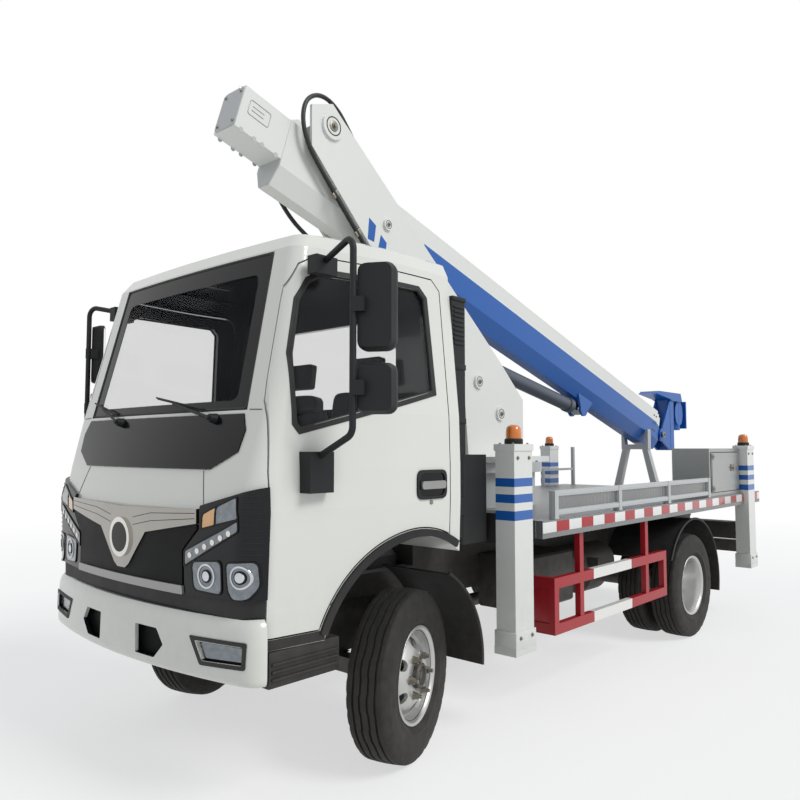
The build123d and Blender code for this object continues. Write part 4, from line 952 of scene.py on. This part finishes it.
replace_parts(shell, "bumper")
print("bumper swept through", len(bumper_path), "sections")

# %% [markdown]
# The bumper has two black openings in the middle and a lamp in each end. They are cut through the
# shell with a boolean, and the result is kept in the mesh. A dark mesh plate closes the middle
# openings from behind, and a lens in a housing the outer ones.

# %% Bumper openings
tow_opening = [(160, 728), (320, 728), (368, 665), (305, 603), (165, 603)]
fog_opening = [(575, 712), (825, 718), (822, 650), (612, 640)]


def carve(piece, bm):
    """Cut a mesh out of a piece once and keep the result."""
    bmesh.ops.recalc_face_normals(bm, faces=bm.faces[:])
    mesh = bpy.data.meshes.new("cutter")
    bm.to_mesh(mesh)
    bm.free()
    cutter = bpy.data.objects.new("cutter", mesh)
    scene.collection.objects.link(cutter)
    cut = piece.modifiers.new("cut", "BOOLEAN")
    cut.object = cutter
    cut.operation = "DIFFERENCE"
    cut.solver = "EXACT"
    bpy.context.view_layer.update()
    done = bpy.data.meshes.new_from_object(piece.evaluated_get(bpy.context.evaluated_depsgraph_get()))
    piece.modifiers.remove(cut)
    piece.data = done
    bpy.data.objects.remove(cutter)


bm = bmesh.new()
for side, sign in both_sides:
    for opening in (tow_opening, fog_opening):
        verts = [bm.verts.new(place(sign * x, -1100, z)) for x, z in rounded(opening, 7)]
        thicken(bm, [bm.faces.new(verts)], Vector((0, 300, 0)))
carve(shell, bm)

fog = [(582, 706), (818, 711), (815, 657), (616, 648)]
tow = [(100, 770), (430, 770), (430, 575), (100, 575)]
for side, sign in both_sides:
    for name, ring, sink, thick, lens in (
        ("fog_housing_", grown(fog, 40), 34, 8, "grained_polypropylene"),
        ("fog_lens_", fog, 14, 22, "lamp_reflector"),
        ("tow_mesh_", tow, 32, 6, "moulded_grille_mesh"),
    ):
        bm = bmesh.new()
        verts = [bm.verts.new(place(sign * x, bumper_face(x) + sink, z)) for x, z in rounded(ring, 8)]
        thicken(bm, [bm.faces.new(verts)], Vector((0, thick, 0)))
        keep(name + side, bm, lens)
    ring = mirrored(grown(fog, 26), sign)
    edge = {"depth": 3, "corner": 10, "hole": mirrored(grown(fog, 10), sign)}
    skin("fog_surround_" + side, ring, "front", "bumper", "grained_polypropylene", **edge)
print("bumper filled")

# %% [markdown]
# Doors: each window has a black rubber frame, and the handle is a silver bar in a black pocket.
# They ride on the door's body. The arch lip and the sill trim stay on the cab.

# %% Door frames, handles and arch lips
window = [(-690, 1578), (-708, 1600), (-708, 1890), (-652, 2130), (-597, 2218), (-515, 2262)]
window += [(40, 2268), (80, 2230), (95, 1772)]
pocket = [(-44, 1254), (170, 1254), (170, 1388), (-44, 1388)]
grip = [(-26, 1300), (152, 1300), (152, 1338), (-26, 1338)]


def circle_through(first, second, third):
    """The middle and radius of the circle through three points."""
    a, b, c = (Vector(p) for p in (first, second, third))
    twice = 2 * (a.x * (b.y - c.y) + b.x * (c.y - a.y) + c.x * (a.y - b.y))
    aa, bb, cc = (p.length_squared for p in (a, b, c))
    u = (aa * (b.y - c.y) + bb * (c.y - a.y) + cc * (a.y - b.y)) / twice
    v = (aa * (c.x - b.x) + bb * (a.x - c.x) + cc * (b.x - a.x)) / twice
    return Vector((u, v)), (a - Vector((u, v))).length


arch_middle, arch_radius = circle_through((-570, 650), (-60, 1077), (480, 760))
arch_foot, arch_end = 694, 262
lip_width = 36
angles = [math.radians(a / 2) for a in range(340, 0, -5)]
spokes = [Vector((math.cos(t), math.sin(t))) for t in angles]
arch = [(k, arch_middle + k * arch_radius) for k in spokes]
spokes = [k for k, spot in arch if spot.y > arch_foot and spot.x < arch_end]
lip_inner, lip_outer = ([tuple(arch_middle + k * (arch_radius + r)) for k in spokes] for r in (1, lip_width))
sill_low = [(y, 693) for y in (*range(-836, -575, 20), -560)]
sill_high = [(y, 733) for y, z in sill_low]
corner_trim = [(-925, 770), (-842, 770), (-842, 897), (-925, 897)]
black = "grained_polypropylene"
for side, sign in both_sides:
    body = side + "_door"
    rubber = {"depth": 3, "corner": 4, "hole": grown(window, 1), "step": 60}
    skin("window_rubber_" + side, grown(window, 24), side, body, "sealing_rubber", body, **rubber)
    skin("handle_pocket_" + side, pocket, side, body, "gloss_abs", body, lift=-1, depth=3, corner=36)
    rim = {"depth": 8, "corner": 40, "hole": grown(pocket, -12)}
    skin("handle_rim_" + side, grown(pocket, 3), side, body, black, body, **rim)
    skin("handle_bar_" + side, grip, side, body, "satin_trim", body, lift=8, depth=12, corner=16, step=30)
    for end in (-18, 130):
        post = [(end, 1306), (end + 16, 1306), (end + 16, 1332), (end, 1332)]
        skin(f"handle_post_{end + 20}_{side}", post, side, body, "satin_trim", body, depth=14, corner=4)
    skin("lock_barrel_" + side, disc(60, 1236, 11, 24), side, body, "zinc_fastener", body)
    ribbon("arch_lip_" + side, lip_inner, lip_outer, side, "cab_shell", black, 14)
    ribbon("sill_trim_" + side, sill_low, sill_high, side, "cab_shell", black)
    skin("valance_end_" + side, corner_trim, side, "cab_shell", black, step=20)
    bead = [touch(u, v, side, body, -6) for u, v in rounded(grown(window, 4), 5)]
    tube("window_bead_" + side, bead, 10, "sealing_rubber", body, "POLY", True)
print("doors trimmed")

# %% [markdown]
# Mirrors: the solids give the housings and the bent arm. The glass is a thin silvered plate set
# in each housing's rear face, turned a little to the driver like the housing.

# %% Mirror glass
turn = math.radians(30)
half_glass, glass_depth = 70, 2.0
for side, sign in both_sides:
    across = Vector((sign * math.cos(turn), math.sin(turn), 0))
    rearward = Vector((-sign * math.sin(turn), math.cos(turn), 0))
    bm = bmesh.new()
    for low, high, corner in ((1886, 2250, 40), (1631, 1837, 32)):
        origin = place(sign * 1193, -556, (low + high) / 2) + rearward * 0.0252
        tall = (high - low) / 2 - 12
        ring = [(-half_glass, -tall), (half_glass, -tall), (half_glass, tall), (-half_glass, tall)]
        flat_plate(bm, ring, origin, across, Vector((0, 0, sign)), glass_depth, corner)
    keep("mirror_glass_" + side, bm, "mirror_silver", side + "_door")
print("mirrors glazed")

# %% [markdown]
# Tyres: a lathe turns the section of the tyre with its ribs. Four grooves run round the tread and
# wander a little from side to side, and short notches cut the shoulders, as on a truck tyre.

# %% Tyres
tyre_radius = 402.5
groove_places = (-54, -19, 19, 54)
notch_every = 4
wander_every = 4
twin_spacing = 0.265


def tyre_rows(step):
    """The tyre's section at one step round the wheel, from one bead over the tread to the other."""
    wander = 2.5 if (step // wander_every) % 2 else -2.5
    notch = 5.0 if step % notch_every == 0 else 0.0
    wall = [(75, 205.5), (75, 226), (84, 233), (94, 246), (102, 258), (104.5, 261), (104.5, 265), (103, 268)]
    wall += [(106.5, 296), (107, 318), (104.5, 345), (104.5, 350), (103, 353), (100, 372 - notch)]
    wall += [(93, 388 - notch), (86, 395.5 - notch), (80, 398.6)]
    crown = []
    for groove in groove_places:
        for offset, sunk in ((-6, 0), (-4, 10), (4, 10), (6, 0)):
            across = groove + offset + wander * (0.4 if abs(groove) > 30 else 1.0)
            crown.append((across, tyre_radius - 4 * (across / 80) ** 2 - sunk))
    return [(-a, r) for a, r in wall] + crown + list(reversed(wall))


def axle_frame(centre, out):
    """A frame at a wheel's middle whose x axis runs outwards along the axle."""
    up = Vector((0, 0, 1))
    basis = Matrix((out, up.cross(out), up)).transposed().to_4x4()
    return Matrix.Translation(centre) @ basis


parked = math.radians(18)
kingpin_x, front_track, wheelbase, wheel_height = 655, 135, 3308, 402.5
wheels = []
for side, sign in both_sides:
    steered = Vector((sign * math.cos(parked), sign * math.sin(parked), 0))
    hub = place(sign * kingpin_x, 0, wheel_height) + steered * front_track / 1000
    straight = Vector((sign, 0, 0))
    wheels.append(("front_" + side, axle_frame(hub, steered), "front"))
    wheels.append(("rear_" + side, axle_frame(place(sign * 885, wheelbase, wheel_height), straight), "rear"))
for name, matrix, kind in wheels:
    bm = bmesh.new()
    lathe(bm, tyre_rows, matrix, 128)
    if kind == "rear":
        lathe(bm, tyre_rows, matrix @ Matrix.Translation((-twin_spacing, 0, 0)), 128)
    body = name + ("_wheel" if kind == "front" else "_wheels")
    solid = name + ("_tyre" if kind == "front" else "_tyres")
    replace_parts(keep(name + "_tread", bm, "tyre_rubber", body), solid)
print("tyres:", len(wheels) + 2)

# %% [markdown]
# Rims: pressed steel discs welded in rolled barrels, sprayed silver. The front disc stands out
# and the rear outer one is a deep dish. Six round hand holes are cut with a boolean through each
# front disc and each rear outer disc, and six long studs with nuts hold the disc to its hub.

# %% Rims, hubs and wheel nuts
barrel = [(-76, 223), (-74, 206), (-60, 202.5), (60, 202.5), (74, 206), (76, 223)]
front_disc = [(87, 232), (90, 229), (90, 222), (84, 213), (72, 206), (44, 200), (33, 195), (33, 189)]
front_disc += [(42, 181), (62, 160), (80, 134), (87, 116), (88, 104), (88, 62), (72, 62), (72, 104)]
front_disc += [(64, 128), (46, 154), (20, 182), (-60, 190), (-82, 206), (-88, 219), (-88, 223)]
dish = [(87, 232), (90, 229), (90, 222), (84, 213), (72, 204), (34, 197), (-6, 190), (-104, 158)]
dish += [(-117, 148), (-119.5, 138), (-119.5, 64), (-133.5, 64), (-133.5, 150), (-120, 162)]
dish += [(-22, 193), (-82, 206), (-88, 219), (-88, 223)]


def cut_holes(piece, matrix, middle, ring_radius, hole_radius, count):
    """Round holes through a turned disc, cut once and kept in the mesh."""
    bm = bmesh.new()
    for i in range(count):
        angle = 2 * math.pi * (i + 0.5) / count
        spot = Vector((0, math.cos(angle), math.sin(angle))) * ring_radius / 1000
        reach = Vector((0.045, 0, 0))
        centre = Vector((middle / 1000, 0, 0)) + spot
        bar(bm, matrix @ (centre - reach), matrix @ (centre + reach), hole_radius, 28)
    carve(piece, bm)


for name, matrix, kind in wheels:
    front_wheel = kind == "front"
    body = name + ("_wheel" if front_wheel else "_wheels")
    bm = bmesh.new()
    lathe(bm, (front_disc if front_wheel else dish) + barrel, matrix, 72)
    rim = keep(name + "_disc", bm, "wheel_silver", body)
    middle, ring_radius, hole_radius = (60, 151, 27) if front_wheel else (-100, 148, 21)
    cut_holes(rim, matrix, middle, ring_radius, hole_radius, 6)
    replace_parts(rim, name + ("_rim" if front_wheel else "_rims"))
    if not front_wheel:
        bm = bmesh.new()
        inner = matrix @ Matrix.Translation((-twin_spacing, 0, 0)) @ Matrix.Rotation(math.pi, 4, "Z")
        lathe(bm, dish + barrel, inner, 72)
        keep(name + "_inner_disc", bm, "wheel_silver", body)
    face = 88 if front_wheel else -119.5
    stud_ring = 95 if front_wheel else 110
    bm = bmesh.new()
    out = (matrix.to_3x3() @ Vector((1, 0, 0))).normalized()
    for i in range(6):
        angle = 2 * math.pi * i / 6
        foot = matrix @ (Vector((face, stud_ring * math.cos(angle), stud_ring * math.sin(angle))) / 1000)
        bar(bm, foot - out * 0.002, foot + out * 0.006, 21, 24, 19)
        bar(bm, foot + out * 0.005, foot + out * 0.027, 17.5, 6, 16)
        bar(bm, foot + out * 0.02, foot + out * 0.044, 10, 16, 9)
    keep(name + "_nuts", bm, "zinc_fastener", body)
    hub_radius = 60 if front_wheel else 78
    rise = 26 if front_wheel else 62
    hub_rows = [(face - 20, hub_radius), (face + rise - 6, hub_radius), (face + rise, hub_radius - 6)]
    hub_rows += [(face + rise, hub_radius - 16), (face + rise - 10, hub_radius - 20), (face + rise - 14, 22)]
    hub_rows += [(face + rise - 6, 16), (face + rise - 6, 1), (face - 20, 1)]
    bm = bmesh.new()
    lathe(bm, hub_rows, matrix, 48)
    keep(name + "_hub", bm, "chassis_black", body)
print("rims and hubs done")

# %% [markdown]
# Black moulded guards keep spray off the cab and deck: a curved sheet behind each front wheel,
# one over each pair of rear wheels with a rolled edge, and a deep step panel below each door.
# They stand for the plainer solids, which have the same arcs. Red plates close the front ends of
# the side guards, and a black sheet of painted shade, bolted to each frame rail, closes the view
# under the cab.

# %% Wheel guards and door steps
guard_root, guard_depth, arc_steps = 470, 8, 24
guards = bmesh.new()
plates = bmesh.new()
shade_sheets = bmesh.new()
for side, sign in both_sides:
    for axle, place_name, radius, first, last, outer in (
        (0, "front", 522, -4, 62, 925),
        (wheelbase, "rear", 520, -12, 152, 1000),
    ):
        section = []
        edge_path = []
        for step in range(arc_steps + 1):
            angle = math.radians(first + (last - first) * step / arc_steps)
            spoke = Vector((math.cos(angle), math.sin(angle)))
            rims = (radius, radius + guard_depth)
            section.append([(axle + spoke.x * r, wheel_height + spoke.y * r) for r in rims])
            edge_path.append(place(sign * (outer - 4), *section[-1][1]))
        for (low_a, high_a), (low_b, high_b) in zip(section, section[1:]):
            corners = (low_a, high_a, high_b, low_b)
            verts = [guards.verts.new(place(sign * guard_root, y, z)) for y, z in corners]
            thicken(guards, [guards.faces.new(verts)], Vector((sign * (outer - guard_root), 0, 0)))
        tube(f"guard_edge_{place_name}_{side}", edge_path, 9, "grained_polypropylene")
    ends = sorted((sign * 800, sign * 880))
    block(guards, (ends[0], -838, 545), (ends[1], -455, 690), 10)
    ends = sorted((sign * 872, sign * 892))
    for z in (575, 605, 635):
        block(guards, (ends[0], -825, z), (ends[1] - 4, -471, z + 12), 3)
    ends = sorted((sign * 730, sign * 966))
    block(plates, (ends[0], 1132, 470), (ends[1], 1160, 684), 4)
    # A black sheet on each frame rail: painted shade that closes the view under the cab.
    ends = sorted((sign * 409, sign * 414))
    block(shade_sheets, (ends[0], -340, 458), (ends[1], 340, 700), 1.5)
    for y in (-300, -100, 100, 300):
        bolt(shade_sheets, place(sign * 414, y, 660), Vector((sign, 0, 0)), 14)
bmesh.ops.remove_doubles(guards, verts=guards.verts[:], dist=0.00001)
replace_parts(keep("wheel_guards", guards, "grained_polypropylene"), "arch_panels")
keep("guard_end_plates", plates, "guard_enamel")
keep("under_cab_shade_sheets", shade_sheets, "grained_polypropylene")
print("guards fitted")

# %% [markdown]
# Outrigger legs carry amber beacons. The lens is turned in small flutes that break up the light,
# on a black foot; it stands for the plain solid below it. A collar stiffens each leg's lower end.

# %% Beacons, collars and leg bolts
leg_x, leg_spots = 1020, (692, 4502)
leg_top = 1516
up = Vector((0, 0, 1))
lenses = bmesh.new()
feet = bmesh.new()
collars = bmesh.new()
bolts = bmesh.new()


def fluted(step):
    """The lens is wider on every second step, which gives its flutes."""
    swell = 1.2 if step % 2 else -1.2
    return [(30, 2), (30, 41 + swell), (58, 41 + swell), (88, 37 + swell), (98, 30), (104, 18), (105, 2)]


for sign in (1, -1):
    for y in leg_spots:
        x = sign * leg_x
        upright = Matrix.Translation(place(x, y, leg_top)) @ Matrix.Rotation(-math.pi / 2, 4, "Y")
        lathe(lenses, fluted, upright, 48)
        lathe(feet, [(0, 2), (0, 48), (6, 50), (24, 50), (30, 45), (31, 2)], upright, 40)
        block(collars, (x - 69, y - 97, 442), (x + 69, y + 97, 538), 5)
        for dy in (-70, 70):
            for dx in (-42, 42):
                bolt(bolts, place(x + dx, y + dy, leg_top), up, 9)
        for z, reach in ((506, 69), (1442, 60)):
            for dy in (-55, 55):
                bolt(bolts, place(sign * (leg_x + reach), y + dy, z), Vector((sign, 0, 0)), 11)
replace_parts(keep("beacon_lenses", lenses, "amber_polycarbonate", sharp=60), "beacons")
keep("beacon_feet", feet, "grained_polypropylene")
keep("leg_collars", collars, "leg_enamel")
keep("leg_bolts", bolts, "zinc_fastener")
print("legs finished")

# %% [markdown]
# Deck edge: a strip of reflective film in red and white runs along both sides. Checker plate
# fills the low rails, and every post has a weld foot with two bolts.

# %% Film strips and rail panels
film = bmesh.new()
for sign in (1, -1):
    for first, last in ((947, 4402), (4602, 4858)):
        ends = sorted((sign * 1039, sign * 1041.5))
        block(film, (ends[0], first, 1015), (ends[1], last, 1075), 0.6)
keep("marking_film", film, "reflective_film")
rail_posts = (1113, 1935, 2746, 3571)
panels = bmesh.new()
frames = bmesh.new()
for sign in (1, -1):
    x = sign * 1015
    for first, last in zip(rail_posts, rail_posts[1:]):
        block(panels, (x - 5, first + 18, 1128), (x + 5, last - 18, 1222), 1)
        for z in (1121, 1230):
            bar(frames, place(x, first, z), place(x, last, z), 18.5, 20)
    for y in rail_posts:
        block(frames, (x - 22, y - 24, 1085), (x + 22, y + 24, 1093), 2)
        bar(frames, place(x, y, 1088), place(x, y, 1246), 21.5, 20)
        for dy in (-13.6, 13.6):
            bolt(frames, place(x - sign * 24, y + dy, 1093), up, 6)
keep("rail_panels", panels, "rolled_deck_plate")
keep("rail_tubes", frames, "grey_enamel")
print("deck edge done")

# %% [markdown]
# Turret: two white plates joined by bosses. Each boss shows a ring and a bolt, and two small blue
# marks lean with the plate. A ring of bolts holds the turntable.

# %% Turret bosses and marks
bosses = ((139, 3351, 78), (1100, 2265, 62), (606, 2879, 36), (1551, 1964, 50), (1819, 1745, 50))
caps = bmesh.new()
rings = bmesh.new()
marks = bmesh.new()
blue_marks = (
    [(448, 2890), (508, 2853), (492, 2748), (436, 2756)],
    [(551, 2806), (603, 2764), (597, 2722), (529, 2722)],
)
for sign in (1, -1):
    out = Vector((sign, 0, 0))
    for y, z, radius in bosses:
        foot = place(sign * 176, y, z)
        wheel = axle_frame(foot, out)
        wide, slim = radius * 0.72, radius * 0.64
        lathe(rings, [(-2, wide), (1.5, wide), (1.5, slim), (-2, slim)], wheel, 48)
        lathe(caps, [(-2, 1), (-2, radius * 0.42), (4, radius * 0.4), (6, radius * 0.34), (6, 1)], wheel, 40)
        bolt(caps, foot + out * 0.006, out, radius * 0.26)
    for ring in blue_marks:
        verts = [marks.verts.new(place(sign * 159.6, y, z)) for y, z in ring]
        thicken(marks, [marks.faces.new(verts)], Vector((sign * 1.2, 0, 0)))
keep("turret_caps", caps, "zinc_fastener")
keep("turret_rings", rings, "sealing_rubber")
keep("turret_marks", marks, "blue_enamel")
bm = bmesh.new()
for u, v in disc(0, 1790, 425, 20):
    bolt(bm, place(u, v, 1395), up, 13)
keep("turntable_bolts", bm, "zinc_fastener")
print("turret finished")

# %% [markdown]
# Boom: the tail has a pressed panel on each side, a grey end plate and a lifting eye. Near the
# head a bolted collar holds the slide pads. All of it rides on the boom's body.

# %% Boom tail and collar


def on_boom(x, along_mm, drop_mm):
    """A point along the boom from its pivot, and across it."""
    return pivot + Vector((x / 1000, 0, 0)) + boom_dir * along_mm / 1000 + boom_up * drop_mm / 1000


tail_half = 95
corners = [(-500, -150), (-360, -150), (-360, -235), (-500, -235)]
for side, sign in both_sides:
    loop = [on_boom(sign * tail_half, a, d) for a, d in rounded(corners, 14, 4)]
    tube("tail_panel_" + side, loop, 2.6, "satin_trim", "boom", "POLY", True)
    for row in (-180, -205):
        slot = [on_boom(sign * tail_half, -480, row), on_boom(sign * tail_half, -400, row)]
        tube(f"tail_slot_{-row}_{side}", slot, 2.4, "satin_trim", "boom", "POLY")
bm = bmesh.new()
end_ring = [(-93, -121), (93, -121), (93, 123), (-93, 123)]
flat_plate(bm, end_ring, on_boom(0, -550, -220), Vector((1, 0, 0)), boom_up, 5, 34)
front_ring = [(-98, -346), (98, -346), (98, -384), (46, -493), (-46, -493), (-98, -384)]
flat_plate(bm, front_ring, on_boom(0, -231, 0), Vector((1, 0, 0)), boom_up, 4)
keep("tail_end_plates", bm, "grey_enamel", "boom")
# Grey discs on the lower edge of each tail side stand for dips in that edge: their grey is painted shade of
# the underside.
bm = bmesh.new()
for sign in (1, -1):
    for along_mm in (-508, -420, -365, -268):
        ring = disc(along_mm * sign, -345, 14, 28)
        flat_plate(bm, ring, on_boom(sign * tail_half, 0, 0), boom_dir * sign, boom_up, 1.5)
keep("tail_edge_dip_shade", bm, "grey_enamel", "boom")
bm = bmesh.new()
for x in (-68, 68):
    for d in (-310, -125):
        bolt(bm, on_boom(x, -555, d), -boom_dir, 11)
keep("tail_bolts", bm, "zinc_fastener", "boom")
eye = ((-530, -95), (-540, -60), (-505, -46), (-480, -66), (-486, -95))
tube("tail_lifting_eye", [on_boom(0, a, d) for a, d in eye], 7, "chrome_plate", "boom")
collar = bmesh.new()
for x, d, wide, tall in ((0, -92, 78, 0), (103, -240, 0, 110), (-103, -240, 0, 110)):
    for along_mm in (4800, 4850):
        spot = on_boom(x, along_mm, d)
        out = boom_up if wide else Vector((1 if x > 0 else -1, 0, 0))
        for offset in (-0.7, 0.0, 0.7):
            shift = Vector((wide * offset / 1000, 0, 0)) + boom_up * (tall * offset / 1000)
            bolt(collar, spot + shift - out * 0.003, out, 10)
keep("slide_pad_bolts", collar, "zinc_fastener", "boom")
print("boom finished")

# %% [markdown]
# Cabinet, tail lamps and the small things at the rear: a latch in a dish, hinges, lenses in three
# colours, and a blank plate between them.

# %% Cabinet and rear
bm = bmesh.new()
block(bm, (1017, 4150, 1290), (1026, 4222, 1352), 3)
bar(bm, place(1024, 4186, 1321), place(1038, 4186, 1321), 15, 24, 13)
block(bm, (1034, 4160, 1315), (1042, 4212, 1327), 3)
keep("cabinet_latch", bm, "zinc_fastener", "cabinet_door")
bm = bmesh.new()
for z in (1150, 1420):
    block(bm, (1017, 3690, z - 24), (1023, 3740, z + 24), 1.5)
    for dy in (14, 36):
        bolt(bm, place(1023, 3690 + dy, z), Vector((1, 0, 0)), 6)
keep("cabinet_hinge_leaves", bm, "zinc_fastener", "cabinet_door")
frame_ring = [(3690, 1133), (4342, 1133), (4342, 1441), (3690, 1441)]
edge = {"depth": 3, "corner": 10, "hole": grown(frame_ring, -16)}
skin("cabinet_door_frame", frame_ring, "left", "cabinet_door", "brushed_stainless", "cabinet_door", **edge)

for side, sign in both_sides:
    for part, first, last, lens in (
        ("red", 700, 800, "red_polycarbonate"),
        ("amber", 806, 890, "amber_polycarbonate"),
        ("clear", 896, 980, "lamp_reflector"),
    ):
        bm = bmesh.new()
        ends = sorted((sign * first, sign * last))
        block(bm, (ends[0], 4888, 996), (ends[1], 4897, 1064), 3)
        keep(f"tail_lens_{part}_{side}", bm, lens)
bm = bmesh.new()
block(bm, (-220, 4828, 515), (220, 4832, 605), 1.5)
keep("blank_plate", bm, "satin_trim")
print("rear finished")

# %% [markdown]
# The stack behind the cab draws clean air from high up. It has a cap and slatted sides.

# %% Air stack
slats = bmesh.new()
for row in range(9):
    z = 2030 + row * 24
    block(slats, (908, 305, z), (921, 390, z + 12), 2)
    block(slats, (795, 396, z), (905, 406, z + 12), 2)
block(slats, (778, 292, 2258), (922, 408, 2284), 8)
for z in (1300, 1620, 1900):
    block(slats, (780, 291, z), (920, 405, z + 30), 4)
keep("air_stack_slats", slats, "grained_polypropylene")
print("air stack finished")

# %% [markdown]
# The boom head carries its bracket on pins. Bolts and pin caps mark the places where it turns.

# %% Head pins
bm = bmesh.new()
level = on_boom(0, 5085, -285)
for sign in (1, -1):
    out = Vector((sign, 0, 0))
    foot = level + out * 0.098
    lathe(bm, [(-2, 1), (-2, 34), (5, 32), (8, 26), (8, 1)], axle_frame(foot, out), 36)
    bolt(bm, foot + out * 0.008, out, 14)
keep("head_pin_caps", bm, "zinc_fastener", "platform_head")
print("head finished")

# %% [markdown]
# Last, the box round everything that renders is measured, and its size is printed.

# %% Sizes
low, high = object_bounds()
print("size", [round(h - l, 3) for l, h in zip(low, high)])
